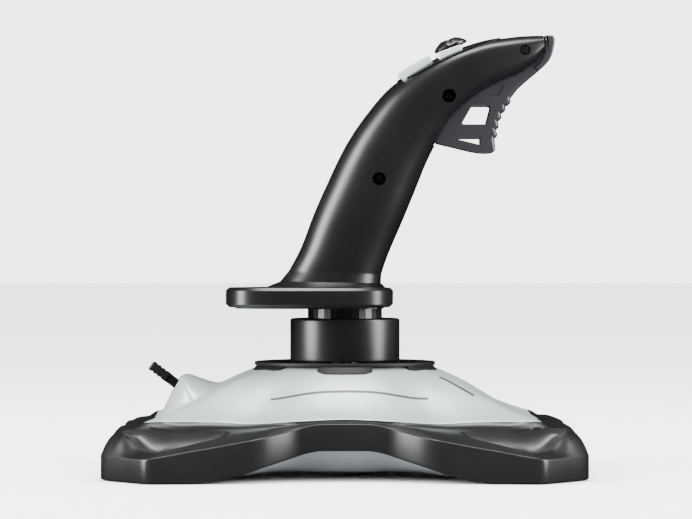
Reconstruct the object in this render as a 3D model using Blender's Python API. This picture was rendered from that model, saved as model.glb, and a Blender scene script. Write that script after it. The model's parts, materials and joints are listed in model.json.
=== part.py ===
"""Flight joystick: a four-lobed base, a gimballed and twisting stick, a palm rest and a trigger grip.

Frame: +X forward (the way the trigger faces), +Y to the user's left, +Z up.
The origin is on the desk, under the stick's axis. Sizes below are millimetres.
"""

import math

import bmesh
import bpy
from mathutils import Matrix, Vector

MM = 0.001

# ---------------------------------------------------------------- driving sizes
# Base, seen from above
WALL_X_MID, WALL_X_END = 97.5, 108.3  # frame's front and back sides: middle and ends
WALL_Y_MID, WALL_Y_SHOULDER = 76.0, 88.5  # frame's left and right sides: middle, and where the lobes begin
LOBE_SPLAY = 13.0  # how much further out the lobes run towards their corners
FACET_NORMAL = Vector((0.773, 0.635))  # the cut-off corners
FACET_REACH = 126.2
SHELL_FRONT = (88.5, 87.5)  # silver shell's front side: middle and ends
SHELL_BACK = (92.5, 89.5)
SHELL_Y_MID, SHELL_Y_END = 69.5, 62.5
CORNER_SOFTNESS, SHELL_SOFTNESS = 1.6, 2.2
# Base, heights
WALL_TOP = 10.9  # frame's upper edge at the corners
END_RISE, SIDE_RISE, SIDE_SAG = 11.3, 4.4, 3.1  # how it rises along the front and back, and along the sides
WALL_FOOT = 0.5  # lowest edge of the frame, just above the rubber feet
ARCH_Y, ARCH_X = 13.0, 11.0  # how far the frame's edge rises between the feet
RIM_Z, RIM_Z_SIDE, RIM_Z_DIP, RIM_Z_FRONT, RIM_Z_BACK = 25.8, 27.1, 24.8, 24.3, 22.2
SHELL_TOP_Z = 48.6
SHELL_WALL, FRAME_WALL, COVER_WALL = 2.2, 2.5, 2.0
LEDGE = 4.0
GAP = 0.3
PAN_RADIUS, PAN_Z = 55.0, 3.0
DISH_X, DISH_Y, DISH_DEPTH = 76.0, 76.5, 6.5
# Sides of a dish: the direction each one faces, outward and away from the middle, and its distance
DISH_SIDES = ((-0.17, -0.985, 9.0), (1.0, 0.0, 23.0), (0.773, 0.635, 13.0))
DISH_SIDES += ((-0.311, 0.95, 11.0), (-1.0, 0.0, 26.0))
FOOT_X, FOOT_Y, FOOT_RADIUS, FOOT_HEIGHT = 84.0, 77.0, 9.0, 1.3
BASE_SCREW = (66.0, 50.0)
GLAND = (30.0, 60.0)

# Stick opening and gimbal
PIVOT = Vector((0.0, 0.0, 44.6))
OPENING_RADIUS, BEZEL_RADIUS, BEZEL_TOP = 30.8, 41.5, 50.6
SHELL_OPENING = 39.0
LOBES, LOBE_HALF_ANGLE, LOBE_REACH = 6, math.radians(17.0), 2.6
BALL_RADIUS, BALL_WALL, BALL_END = 30.2, 1.8, math.radians(104.0)
COLLAR_RADIUS, COLLAR_Z0, COLLAR_Z1, COLLAR_WALL = 25.2, 50.6, 70.4, 2.4
HUB_Z0, HUB_Z1 = 57.6, 60.4
NECK_RADIUS, NECK_BORE, NECK_Z0 = 17.1, 13.5, 61.2
SHAFT_RADIUS, SHAFT_BORE, SHAFT_Z0, SHAFT_Z1 = 6.5, 4.5, 23.0, 97.0
RING_RADIUS, RING_BORE, RING_HALF = 14.5, 11.5, 3.6
PIN_RADIUS = 1.8
POST_Y0, POST_Y1, POST_TOP = 17.6, 21.0, 48.2
DECK_Z0, DECK_Z1 = 11.5, 13.5

# Throttle: the lever swings about THROTTLE_AXIS and points along THROTTLE_ARM
THROTTLE_PIVOT = Vector((-58.9, 0.0, 26.2))
THROTTLE_ARM = Vector((-0.8, 0.0, 0.6))
THROTTLE_AXIS = Vector((0.6, 0.0, 0.8))
DRUM_FACE, DRUM_SLOPE, DRUM_HALF = (-80.5, 34.4), 2.1, 17.5
CREST_X, CREST_Z = -72.0, 44.6
LEVER_REACH, LEVER_HALF_THICK = 37.8, 2.0
SLOT_HALF_THICK, SLOT_HALF_LENGTH = 2.9, 17.2

# Base buttons: two columns of three on the user's left
BUTTON_AXIS = Vector((0.0, 0.6, 0.8))
BUTTON_ROWS = (-19.0, 0.0, 19.0)
BUTTON_COLUMNS = (51.5, 62.0)
BUTTON_LONG, BUTTON_SHORT = 12.0, 7.5

# Grip wall and palm rest
GRIP_WALL = 2.2
TRIGGER_PIVOT = Vector((80.5, 0.0, 190.5))
TRIGGER_HALF, TRIGGER_SLOT_HALF = 6.4, 7.0
NOSE_HALF = 8.6
SCREW_HOLES = ((15.6, 134.1, 3.0), (47.4, 171.8, 3.1), (82.3, 193.0, 2.4))
SEAT_DEPTH, SCREW_SHANK = 9.4, 1.25  # the screws' seats lie this far from the middle plane
SIDE_BUTTON, SIDE_BUTTON_LONG, SIDE_BUTTON_SHORT = (29.0, 168.0), 12.0, 7.0

# Each grip station: back x z, front x z, half-width right, half-width left, squareness,
# and how far the inside surface lies below the outside one.
GRIP_STATIONS = (
    (-53.0, 75.6, 20.6, 75.6, 36.5, 24.5, 4.0, 0.0),
    (-54.5, 77.0, 22.1, 77.0, 38.0, 26.0, 4.0, 0.0),
    (-54.5, 83.2, 22.1, 83.2, 38.0, 26.0, 4.0, -2.1),
    (-53.2, 84.5, 21.0, 84.3, 36.8, 24.8, 4.0, -2.3),
    (-36.0, 84.8, 18.6, 84.5, 22.0, 19.5, 2.4, -2.3),
    (-29.8, 87.3, 16.6, 86.5, 18.0, 17.5, 2.3, -1.5),
    (-25.8, 92.2, 16.8, 90.6, 17.0, 16.8, 2.3, 0.0),
    (-20.2, 102.8, 18.4, 95.5, 17.0, 16.8, 2.3, 0.0),
    (-14.4, 118.0, 21.0, 102.3, 17.4, 17.2, 2.3, 0.0),
    (-8.0, 132.5, 27.0, 116.2, 18.0, 17.6, 2.3, 0.0),
    (0.0, 149.0, 33.1, 131.0, 18.2, 18.0, 2.3, 0.0),
    (9.0, 162.7, 37.4, 141.6, 18.2, 18.0, 2.4, 0.0),
    (20.4, 175.9, 42.6, 152.0, 18.4, 18.2, 2.6, 0.0),
    (34.0, 184.9, 48.6, 161.8, 18.6, 18.4, 3.0, 0.0),
    (48.8, 192.2, 58.4, 171.4, 18.0, 17.8, 3.5, 0.0),
    (63.3, 197.1, 69.0, 177.6, 16.2, 16.0, 3.4, 0.0),
    (76.0, 199.3, 79.4, 181.9, 13.8, 13.6, 3.0, 0.0),
    (85.0, 200.1, 87.0, 186.8, 11.4, 11.3, 2.6, 0.0),
    (91.2, 200.2, 91.2, 191.8, 9.2, 9.2, 2.3, 0.0),
)
FIRST_SPLINE_STATION = 6  # stations before this one are joined by straight runs

# Controls on the head: base point x z, the tilt of the surface there, half-length, y span, height
LOWER_BUTTON = (32.8, 184.2, math.radians(30.5), 8.1, 1.2, 11.0, 3.1)
UPPER_BUTTON = (48.0, 191.7, math.radians(20.0), 5.9, 9.2, 13.4, 2.1)
HAT = (49.6, 192.5, math.radians(20.0), 7.8, 6.3)
PANEL_FROM, PANEL_TO = 12.3, 15.6
PANEL_HALF_ANGLES = math.radians(34.0), math.radians(46.0), math.radians(26.0)  # lower end, middle, upper end


# ---------------------------------------------------------------- small maths
def smooth(t):
    t = min(max(t, 0.0), 1.0)
    return t * t * (3.0 - 2.0 * t)


def soft_min(values, softness):
    low = min(values)
    return low - softness * math.log(sum(math.exp((low - v) / softness) for v in values))


def soft_max(values, softness):
    return -soft_min([-v for v in values], softness)


def circle(radius, count, start=0.0):
    turn = 2.0 * math.pi / count
    return [(radius * math.cos(start + k * turn), radius * math.sin(start + k * turn)) for k in range(count)]


def spline(values, t):
    """Catmull-Rom through a list of equal-length tuples, at the place t counted in items."""
    last = len(values) - 1
    k = min(max(int(t), 0), last - 1)
    u = t - k
    a, b, c, d = (values[min(max(k + i, 0), last)] for i in (-1, 0, 1, 2))
    return tuple(
        0.5 * (2 * q + (r - p) * u + (2 * p - 5 * q + 4 * r - s) * u * u + (3 * q - p - 3 * r + s) * u**3)
        for p, q, r, s in zip(a, b, c, d)
    )


# ---------------------------------------------------------------- scene helpers
def material(name, colour, roughness, metallic=0.0):
    made = bpy.data.materials.new(name)
    made.use_nodes = True
    shader = made.node_tree.nodes["Principled BSDF"]
    shader.inputs["Base Color"].default_value = (*colour, 1.0)
    shader.inputs["Roughness"].default_value = roughness
    shader.inputs["Metallic"].default_value = metallic
    made.diffuse_color = (*colour, 1.0)
    return made


def empty(name, place, parent=None):
    """A joint's origin, in millimetres in the object's frame."""
    made = bpy.data.objects.new(name, None)
    bpy.context.scene.collection.objects.link(made)
    made["place"] = list(place)
    made.parent = parent
    origin = Vector(parent["place"]) if parent else Vector((0, 0, 0))
    made.location = (Vector(place) - origin) * MM
    return made


def solid(name, points, faces, paint, joint=None, angle=35.0):
    """A mesh object from points in millimetres in the object's frame, hung on a joint's empty."""
    origin = Vector(joint["place"]) if joint else Vector((0, 0, 0))
    mesh = bpy.data.meshes.new(name)
    mesh.from_pydata([(Vector(p) - origin) * MM for p in points], [], faces)
    graph = bmesh.new()
    graph.from_mesh(mesh)
    bmesh.ops.remove_doubles(graph, verts=graph.verts, dist=1e-6)
    bmesh.ops.recalc_face_normals(graph, faces=graph.faces)
    graph.to_mesh(mesh)
    graph.free()
    mesh.shade_smooth()
    mesh.set_sharp_from_angle(angle=math.radians(angle))
    made = bpy.data.objects.new(name, mesh)
    bpy.context.scene.collection.objects.link(made)
    if paint:
        mesh.materials.append(paint)
    made.parent = joint
    return made


def rings_to_faces(count, size, closed_rings=True, closed_path=False):
    """Quads between consecutive rings of `size` points, and the two end caps of an open path."""
    faces = []
    steps = count if closed_path else count - 1
    around = size if closed_rings else size - 1
    for k in range(steps):
        here, there = k * size, ((k + 1) % count) * size
        for i in range(around):
            j = (i + 1) % size
            faces.append((here + i, here + j, there + j, there + i))
    if not closed_path:
        faces.append(tuple(range(size - 1, -1, -1)))
        faces.append(tuple(range((count - 1) * size, count * size)))
    return faces


def loft(name, rings, paint, joint=None, closed_path=False, angle=35.0):
    points = [p for ring in rings for p in ring]
    faces = rings_to_faces(len(rings), len(rings[0]), closed_path=closed_path)
    return solid(name, points, faces, paint, joint, angle)


def lathe(name, profile, paint, joint=None, count=32, centre=(0.0, 0.0), angle=35.0):
    """A closed (radius, z) profile turned about a vertical axis; radius 0 closes on the axis."""
    turns = circle(1.0, count)
    rings = [[(centre[0] + r * c, centre[1] + r * s, z) for r, z in profile] for c, s in turns]
    return loft(name, rings, paint, joint, closed_path=True, angle=angle)


def basis(direction):
    """A rotation that takes +Z to the direction and keeps Y as level as it can."""
    z = Vector(direction).normalized()
    y = Vector((0, 1, 0)) if abs(z.y) < 0.9 else Vector((1, 0, 0))
    x = y.cross(z).normalized()
    return Matrix((x, z.cross(x), z)).transposed()


def rod(name, start, end, radius, paint, joint=None, count=16, bore=0.0):
    """A round bar from start to end, or a tube when it has a bore."""
    start, end = Vector(start), Vector(end)
    turn = basis(end - start)
    length = (end - start).length
    if not bore:
        rings = [[start + turn @ Vector((x, y, z)) for x, y in circle(radius, count)] for z in (0.0, length)]
        return loft(name, rings, paint, joint)
    profile = ((bore, 0.0), (radius, 0.0), (radius, length), (bore, length))
    rings = [
        [start + turn @ Vector((r * c, r * s, z)) for r, z in profile]
        for c, s in circle(1.0, count)
    ]
    return loft(name, rings, paint, joint, closed_path=True)


def block(name, centre, size, paint, joint=None, turn=None, chamfer=0.0):
    """A box about its centre, turned by a 3x3 matrix, with its upright edges chamfered."""
    hx, hy, hz = (s / 2.0 for s in size)
    c = chamfer
    outline = [(hx - c, -hy), (hx, c - hy), (hx, hy - c), (hx - c, hy)]
    outline += [(c - hx, hy), (-hx, hy - c), (-hx, c - hy), (c - hx, -hy)]
    if not c:
        outline = [(hx, -hy), (hx, hy), (-hx, hy), (-hx, -hy)]
    turn = turn or Matrix.Identity(3)
    rings = [[Vector(centre) + turn @ Vector((x, y, z)) for x, y in outline] for z in (-hz, hz)]
    return loft(name, rings, paint, joint)


def prism(name, outline, y0, y1, paint, joint=None):
    """An (x, z) outline extruded along Y."""
    rings = [[(x, y, z) for x, z in outline] for y in (y0, y1)]
    return loft(name, rings, paint, joint)


def coil(name, centre, axis, radius, wire, turns, pitch, paint, joint=None, per_turn=10, sides=5):
    """A helical wire about an axis through its centre."""
    turn = basis(axis)
    count = int(turns * per_turn) + 1
    rings = []
    for k in range(count):
        a = 2.0 * math.pi * k / per_turn
        out = Vector((math.cos(a), math.sin(a), 0.0))
        height = pitch * (k / per_turn - turns / 2.0)
        rings.append([
            Vector(centre) + turn @ (out * (radius + wire * c) + Vector((0, 0, height + wire * s)))
            for c, s in circle(1.0, sides)
        ])
    return loft(name, rings, paint, joint)


def cut(target, *cutters):
    for cutter in cutters:
        boolean(target, cutter, "DIFFERENCE")
    return target


def merge(target, *others):
    for other in others:
        boolean(target, other, "UNION")
    return target


def boolean(target, other, operation):
    modifier = target.modifiers.new(other.name, "BOOLEAN")
    modifier.operation = operation
    modifier.solver = "EXACT"
    modifier.object = other
    other.hide_render = True
    other.display_type = "WIRE"


def gather(name, parts, joint=None):
    """Several separate solids in one object, to cut or to add them in one Boolean."""
    bpy.context.view_layer.update()
    origin = Vector(joint["place"]) * MM if joint else Vector((0, 0, 0))
    whole = bmesh.new()
    for part in parts:
        mesh = part.data.copy()
        mesh.transform(Matrix.Translation(-origin) @ part.matrix_world)
        whole.from_mesh(mesh)
        bpy.data.objects.remove(part)
    mesh = bpy.data.meshes.new(name)
    whole.to_mesh(mesh)
    whole.free()
    made = bpy.data.objects.new(name, mesh)
    bpy.context.scene.collection.objects.link(made)
    made.parent = joint
    return made


# ---------------------------------------------------------------- shape of the base
def side_shares(phi):
    """How far a direction is from the middle of the front/back side, and of the left/right side."""
    c, s = max(abs(math.cos(phi)), 1e-6), max(abs(math.sin(phi)), 1e-6)
    return c, s, smooth((s / c) / 0.6), smooth((c / s - 0.15) / 0.68)


def wall_radius(phi):
    c, s, along_x, _ = side_shares(phi)
    lobe = smooth((c / s - 0.24) / 0.22)
    splay = LOBE_SPLAY * max(min(c / s, 0.95) - 0.44, 0.0)
    front = (WALL_X_MID + (WALL_X_END - WALL_X_MID) * along_x) / c
    side = (WALL_Y_MID + (WALL_Y_SHOULDER - WALL_Y_MID) * lobe + splay) / s
    facet = FACET_REACH / (FACET_NORMAL.x * c + FACET_NORMAL.y * s)
    return soft_min((front, side, facet), CORNER_SOFTNESS)


def side_arch(c, s):
    return ARCH_Y * (1.0 - smooth((c / s - 0.12) / 0.58))


def wall_foot(phi):
    """Height of the frame's lower edge: on the desk at the corners, arched between them."""
    c, s, _, _ = side_shares(phi)
    return WALL_FOOT + ARCH_X * (1.0 - smooth((s / c) / 0.52)) + side_arch(c, s)


def wall_top(phi):
    """Height of the frame's upper edge."""
    c, s, _, _ = side_shares(phi)
    ends = END_RISE * smooth((0.58 - s / c) / 0.35)
    sides = SIDE_RISE * smooth((0.95 - c / s) / 0.33) - SIDE_SAG * (1.0 - smooth((c / s - 0.3) / 0.3))
    return WALL_TOP + ends + sides + side_arch(c, s)


def rim_radius(phi):
    """Where the silver shell ends and the black frame begins."""
    c, s, along_x, along_y = side_shares(phi)
    middle, end = SHELL_FRONT if math.cos(phi) > 0 else SHELL_BACK
    front = (middle + (end - middle) * along_x) / c
    side = (SHELL_Y_MID + (SHELL_Y_END - SHELL_Y_MID) * along_y) / s
    return soft_min((front, side), SHELL_SOFTNESS)


def rim_height(phi):
    c, s, _, _ = side_shares(phi)
    lift = (RIM_Z_SIDE - RIM_Z) * (1.0 - smooth((c / s) / 0.5))
    dip = (RIM_Z_DIP - RIM_Z) * math.exp(-(((c / s - 0.65) / 0.2) ** 2))
    end = (RIM_Z_FRONT if math.cos(phi) > 0 else RIM_Z_BACK) - RIM_Z
    return RIM_Z + lift + dip + end * smooth((abs(math.cos(phi)) - 0.78) / 0.17)


def dish(x, y):
    """Depth of the finger dish in each corner of the frame: a bowl with a rounded five-sided outline."""
    u, v = abs(x) - DISH_X, abs(y) - DISH_Y
    distance = max(math.hypot(u, v), 1e-6)
    reaches = [offset * distance / (a * u + b * v) for a, b, offset in DISH_SIDES if a * u + b * v > 1e-3]
    share = distance / soft_min(reaches, 1.5) if reaches else 0.0
    return DISH_DEPTH * (1.0 - share**2.6) if share < 1.0 else 0.0


def frame_top(phi, t):
    """Point (radius, z) of the frame's upper surface, from the shell's rim (t=0) to the wall (t=1)."""
    inner, outer = rim_radius(phi) + GAP, wall_radius(phi)
    z0, z1 = rim_height(phi), wall_top(phi)
    c, s, _, _ = side_shares(phi)
    bend = 2.4 - 1.35 * smooth((s / c - 0.2) / 0.5)
    r = inner + (outer - inner) * t
    crown = 0.8 * math.sin(math.pi * t) * min(1.0, (outer - inner) / 20.0)
    z = z0 + (z1 - z0) * t**bend + crown
    return r, z - dish(r * math.cos(phi), r * math.sin(phi))


def shell_top(x, y):
    """Upper surface of the silver shell: a falling dome, with the throttle's drum raised at the back."""
    phi = math.atan2(y, x)
    r, rim = math.hypot(x, y), rim_radius(phi)
    t = (r - SHELL_OPENING) / (rim - SHELL_OPENING)
    fall = t - 0.04 * math.sin(2.0 * math.pi * t)
    dome = SHELL_TOP_Z + (rim_height(phi) - SHELL_TOP_Z) * fall
    if x > -40.0:
        return dome
    bow = (y / DRUM_HALF) ** 4
    side = DRUM_FACE[1] + DRUM_SLOPE * (x - DRUM_FACE[0] - bow)
    cap = CREST_Z - 0.35 * max(x - CREST_X, 0.0) - 0.8 * bow
    drum = soft_min((side, cap), 1.6)
    return soft_max((dome, drum), 1.3)


def polar(phi, r, z):
    return (r * math.cos(phi), r * math.sin(phi), z)


def section_ring(sections):
    """Closed (radius, z) sections, one for each direction, as rings of points."""
    count = len(sections)
    return [
        [polar(2.0 * math.pi * k / count, r, z) for r, z in section]
        for k, section in enumerate(sections)
    ]


# ---------------------------------------------------------------- the base's pieces
def base_frame(paint, count=60, steps=3):
    sections = []
    for k in range(count):
        phi = 2.0 * math.pi * k / count
        rim, z_rim = rim_radius(phi), rim_height(phi)
        outer, foot = wall_radius(phi), wall_foot(phi)
        top = [frame_top(phi, i / steps) for i in range(steps + 1)]
        under = [(min(r, outer - FRAME_WALL), z - FRAME_WALL) for r, z in reversed(top[1:])]
        ledge = z_rim - SHELL_WALL - 2 * GAP
        section = [(rim - LEDGE, ledge), (rim + GAP, ledge), *top, (outer, foot), (outer - FRAME_WALL, foot)]
        section += [*under, (rim - LEDGE, ledge - FRAME_WALL)]
        sections.append(section)
    return loft("base_frame", section_ring(sections), paint, closed_path=True)


def base_top_shell(paint, count=60, steps=5):
    sections = []
    for k in range(count):
        phi = 2.0 * math.pi * k / count
        rim = rim_radius(phi)
        radii = [SHELL_OPENING + (rim - SHELL_OPENING) * i / steps for i in range(steps + 1)]
        top = [(r, shell_top(r * math.cos(phi), r * math.sin(phi))) for r in radii]
        under = [(r, z - SHELL_WALL) for r, z in reversed(top)]
        sections.append(top + under)
    shell = loft("base_top_shell", section_ring(sections), paint, closed_path=True)
    return cut(shell, throttle_slot_cutter(), base_button_cutter())


def throttle_point(u, v, w):
    """Along the lever, sideways, and along the lever's axis."""
    return THROTTLE_PIVOT + THROTTLE_ARM * u + Vector((0, v, 0)) + THROTTLE_AXIS * w


def throttle_slot_cutter():
    half = SLOT_HALF_LENGTH
    outline = ((14.0, -half), (36.0, -half), (36.0, half), (14.0, half))
    rings = [[throttle_point(u, v, w) for u, v in outline] for w in (-SLOT_HALF_THICK, SLOT_HALF_THICK)]
    return loft("throttle_slot_cutter", rings, None)


def button_seats():
    """Name, point on the shell and row number of each base button."""
    seats = []
    for row, x in enumerate(BUTTON_ROWS):
        for column, y in enumerate(BUTTON_COLUMNS):
            number = 7 + row * len(BUTTON_COLUMNS) + column
            seats.append((f"base_button_{number}", Vector((x, y, shell_top(x, y)))))
    return seats


def base_button_cutter():
    turn = basis(BUTTON_AXIS)
    size = (BUTTON_LONG + 2 * GAP, BUTTON_SHORT + 2 * GAP, 16.0)
    holes = [block(f"hole_{name}", seat, size, None, turn=turn, chamfer=1.6) for name, seat in button_seats()]
    return gather("base_button_cutter", holes)


def base_bottom_cover(paint, count=60, steps=3):
    """Shallow round pan in the middle, with an arm into each corner for the feet."""
    sections = []
    for k in range(count):
        phi = 2.0 * math.pi * k / count
        edge = cover_edge(phi)
        radii = [3.0] + [22.0 + (edge - 22.0) * i / steps for i in range(steps + 1)]
        lower = [(r, cover_under(phi, r)) for r in radii]
        upper = [(r, z + COVER_WALL) for r, z in reversed(lower)]
        sections.append(lower + upper)
    cover = loft("base_bottom_cover", section_ring(sections), paint, closed_path=True)
    holes = [rod("hole", (x, y, -1), (x, y, 20), 1.4 + GAP, None, count=12) for x, y in four_corners(*BASE_SCREW)]
    holes.append(rod("hole", (*GLAND, -1), (*GLAND, 20), 3.4 + GAP, None))
    return cut(cover, gather("cover_hole_cutter", holes))


def cover_edge(phi):
    return wall_radius(phi) - FRAME_WALL - GAP


def cover_under(phi, r):
    """Underside of the bottom cover: level in the middle, bending to the frame's lower edge."""
    z_edge = max(wall_foot(phi) + 1.1, 1.6)
    return PAN_Z + (z_edge - PAN_Z) * smooth((r - PAN_RADIUS) / (cover_edge(phi) - PAN_RADIUS))


def four_corners(x, y):
    return [(sx * x, sy * y) for sx in (-1, 1) for sy in (-1, 1)]


def rubber_feet():
    profile = ((0.0, 0.0), (FOOT_RADIUS - 0.6, 0.0), (FOOT_RADIUS, 0.6), (FOOT_RADIUS, FOOT_HEIGHT))
    profile += ((0.0, FOOT_HEIGHT),)
    for number, place in enumerate(four_corners(FOOT_X, FOOT_Y), 1):
        name = f"rubber_foot_{number}"
        lathe(name, profile, paint(name, "rubber"), count=18, centre=place)


def lobe_angles():
    return [math.radians(-90.0 + 360.0 * k / LOBES) for k in range(LOBES)]


def opening_bezel(paint):
    """Ring round the stick, with a skirt that drops into the shell."""
    profile = (
        (OPENING_RADIUS, 48.9), (36.2, 48.9), (36.2, 43.5), (38.5, 43.5), (38.5, 48.9),
        (BEZEL_RADIUS, 48.9), (BEZEL_RADIUS, BEZEL_TOP - 0.6), (BEZEL_RADIUS - 0.7, BEZEL_TOP),
        (OPENING_RADIUS + 0.6, BEZEL_TOP - 0.3), (OPENING_RADIUS, BEZEL_TOP - 0.7),
    )
    bezel = lathe("opening_bezel", profile, paint, count=36)
    return merge(bezel, bezel_lobes())


def bezel_lobes(steps=2):
    """The six flat tabs that lie on the shell round the bezel."""
    parts = []
    for middle in lobe_angles():
        rings = []
        for k in range(steps + 1):
            phi = middle + LOBE_HALF_ANGLE * (2.0 * k / steps - 1.0)
            reach = LOBE_REACH * (0.35 if k in (0, steps) else 1.0)
            inner, outer = BEZEL_RADIUS - 0.8, BEZEL_RADIUS + reach
            z_outer = shell_top(outer * math.cos(phi), outer * math.sin(phi)) + GAP
            ring = [polar(phi, inner, 49.0), polar(phi, outer, z_outer), polar(phi, outer, z_outer + 0.8)]
            ring.append(polar(phi, inner, 50.1))
            rings.append(ring)
        parts.append(loft("lobe", rings, None))
    return gather("bezel_lobes", parts)


def gimbal_housing(paint):
    """Deck on four legs, carrying the two posts of the gimbal."""
    deck = block("gimbal_housing", (0, 0, (DECK_Z0 + DECK_Z1) / 2), (58.0, 58.0, DECK_Z1 - DECK_Z0), paint, chamfer=8.0)
    extras = []
    for side in (-1, 1):
        outline_y = side * (POST_Y0 + POST_Y1) / 2
        rise = POST_TOP - DECK_Z1 + 0.6
        post = block("post", (0, outline_y, POST_TOP - rise / 2), (10.0, POST_Y1 - POST_Y0, rise), None, chamfer=0.8)
        extras.append(post)
    for x, y in four_corners(22.0, 22.0):
        extras.append(rod("leg", (x, y, PAN_Z + COVER_WALL + GAP), (x, y, DECK_Z0 + 0.6), 3.4, None, count=12))
    merge(deck, *extras)
    for side in (-1, 1):
        y = side * (POST_Y0 + POST_Y1) / 2
        bore = rod("post_bore", (0, y - 4, PIVOT.z), (0, y + 4, PIVOT.z), PIN_RADIUS + GAP, None)
        cut(deck, bore)
    return deck


def gimbal_spring(name, direction, near, far, radius, wire, paint, joint=None):
    middle = PIVOT + Vector(direction) * (near + far) / 2
    pitch = (far - near - 2 * wire - 0.3) / 2.0
    return coil(name, middle, direction, radius, wire, 2.0, pitch, paint, joint)


def screw(name, place, direction, sizes, joint=None):
    """Pan-head screw: sizes are the head's radius and height and the shank's radius and length."""
    head_r, head_h, shank_r, shank_l = sizes
    place, turn = Vector(place), basis(direction)
    profile = ((0.0, -shank_l), (shank_r, -shank_l), (shank_r, 0.0), (head_r, 0.0), (head_r, head_h), (0.0, head_h))
    rings = [
        [place + turn @ Vector((r * c, r * s, z)) for r, z in profile]
        for c, s in circle(1.0, 8)
    ]
    return loft(name, rings, paint(name, "steel"), joint, closed_path=True)


def ballast(paint):
    """Steel ring that keeps the base down."""
    inner, outer, z0, z1 = 36.5, 52.0, 6.4, 10.2
    profile = ((inner, z0), (outer, z0), (outer, z1), (inner, z1))
    return lathe("ballast_ring", profile, paint, count=24)


# ---------------------------------------------------------------- the stick below the grip
def collar(paint, joint):
    """Round collar under the palm rest, with the disc inside it that sits on the shaft."""
    r, w, z0, z1 = COLLAR_RADIUS, COLLAR_WALL, COLLAR_Z0, COLLAR_Z1
    hole = NECK_RADIUS + 0.5
    bore = SHAFT_RADIUS + GAP
    profile = (
        (r - w, z0), (r - 0.4, z0), (r, z0 + 0.4), (r, z1 - 1.4), (r - 0.4, z1 - 0.4), (r - 1.4, z1),
        (hole, z1), (hole, z1 - 2.0), (r - w, z1 - 2.0), (r - w, HUB_Z1), (bore, HUB_Z1), (bore, HUB_Z0 - 1.0),
        (9.5, HUB_Z0 - 1.0), (9.5, HUB_Z0), (r - w, HUB_Z0),
    )
    return lathe("twist_collar", profile, paint, joint, count=28)


def ball_cover(paint, joint, steps=3):
    """Flange level with the bezel, and the ball-shaped skirt that keeps the opening shut at full tilt."""
    top, thick = COLLAR_Z0 - GAP, 1.5
    inner = BALL_RADIUS - BALL_WALL
    first = math.acos((top - PIVOT.z) / BALL_RADIUS)
    outside = []
    inside = []
    for k in range(steps + 1):
        a = first + (BALL_END - first) * k / steps
        outside.append((BALL_RADIUS * math.sin(a), PIVOT.z + BALL_RADIUS * math.cos(a)))
        b = math.acos((top - thick - PIVOT.z) / inner)
        b += (BALL_END - b) * k / steps
        inside.append((inner * math.sin(b), PIVOT.z + inner * math.cos(b)))
    profile = [(22.9, top), *outside, *reversed(inside), (22.9, top - thick)]
    return lathe("ball_cover", profile, paint, joint, count=32)


def shaft(paint, joint):
    profile = ((SHAFT_BORE, SHAFT_Z0), (SHAFT_RADIUS, SHAFT_Z0), (SHAFT_RADIUS, SHAFT_Z1), (SHAFT_BORE, SHAFT_Z1))
    return lathe("stick_shaft", profile, paint, joint, count=24)


def gimbal_cross(paint, joint):
    """Sleeve on the shaft with the two stub pins of the roll axis."""
    bore = SHAFT_RADIUS + GAP
    profile = ((bore, PIVOT.z - 3.2), (8.6, PIVOT.z - 3.2), (8.6, PIVOT.z + 3.2), (bore, PIVOT.z + 3.2))
    sleeve = lathe("gimbal_cross", profile, paint, joint, count=24)
    stubs = []
    for side in (-1, 1):
        start, end = (side * 8.0, 0, PIVOT.z), (side * (RING_RADIUS + 1.0), 0, PIVOT.z)
        stubs.append(rod("stub", start, end, PIN_RADIUS, None, joint, count=12))
    return merge(sleeve, *stubs)


def gimbal_ring(paint, joint):
    """Ring between the posts and the cross, with the two stub pins of the pitch axis."""
    z0, z1 = PIVOT.z - RING_HALF, PIVOT.z + RING_HALF
    profile = ((RING_BORE, z0), (RING_RADIUS, z0), (RING_RADIUS, z1), (RING_BORE, z1))
    ring = lathe("gimbal_ring", profile, paint, joint, count=24)
    for side in (-1, 1):
        start, end = (0, side * (RING_RADIUS - 1.0), PIVOT.z), (0, side * (POST_Y1 + 1.0), PIVOT.z)
        merge(ring, rod("stub", start, end, PIN_RADIUS, None, joint, count=12))
    return cut(ring, rod("ring_bore", (-20, 0, PIVOT.z), (20, 0, PIVOT.z), PIN_RADIUS + GAP, None, joint))


# ---------------------------------------------------------------- shape of the grip
def grip_station(t):
    """The grip's station at the place t, counted in stations."""
    if t < FIRST_SPLINE_STATION:
        k = int(t)
        a, b = GRIP_STATIONS[k], GRIP_STATIONS[k + 1]
        return tuple(p + (q - p) * (t - k) for p, q in zip(a, b))
    upper = GRIP_STATIONS[FIRST_SPLINE_STATION:]
    return spline(upper, t - FIRST_SPLINE_STATION)


def grip_point(t, angle, inset=0.0):
    """Point on the grip: angle 0 is the palm side, pi the finger side, negative is the user's right."""
    bx, bz, fx, fz, right, left, n, drop = grip_station(t)
    back, front = Vector((bx, 0, bz)), Vector((fx, 0, fz))
    half = (front - back).length / 2.0
    along = (front - back).normalized()
    c, s = math.cos(angle), math.sin(angle)
    reach = -math.copysign(abs(c) ** (2.0 / n), c)
    width = math.copysign(abs(s) ** (2.0 / n), s)
    side = (left if s > 0 else right) - inset
    point = (back + front) / 2.0 + along * (half - inset) * reach + Vector((0, width * side, 0))
    if inset > 0:
        point.z += drop
    return point


def grip_places(step=0.8):
    """Stations along the grip: the given ones, and those between them where it curves."""
    places = [float(k) for k in range(FIRST_SPLINE_STATION)]
    last = len(GRIP_STATIONS) - 1
    count = int((last - FIRST_SPLINE_STATION) / step)
    return places + [FIRST_SPLINE_STATION + step * k for k in range(count + 1)]


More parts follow.
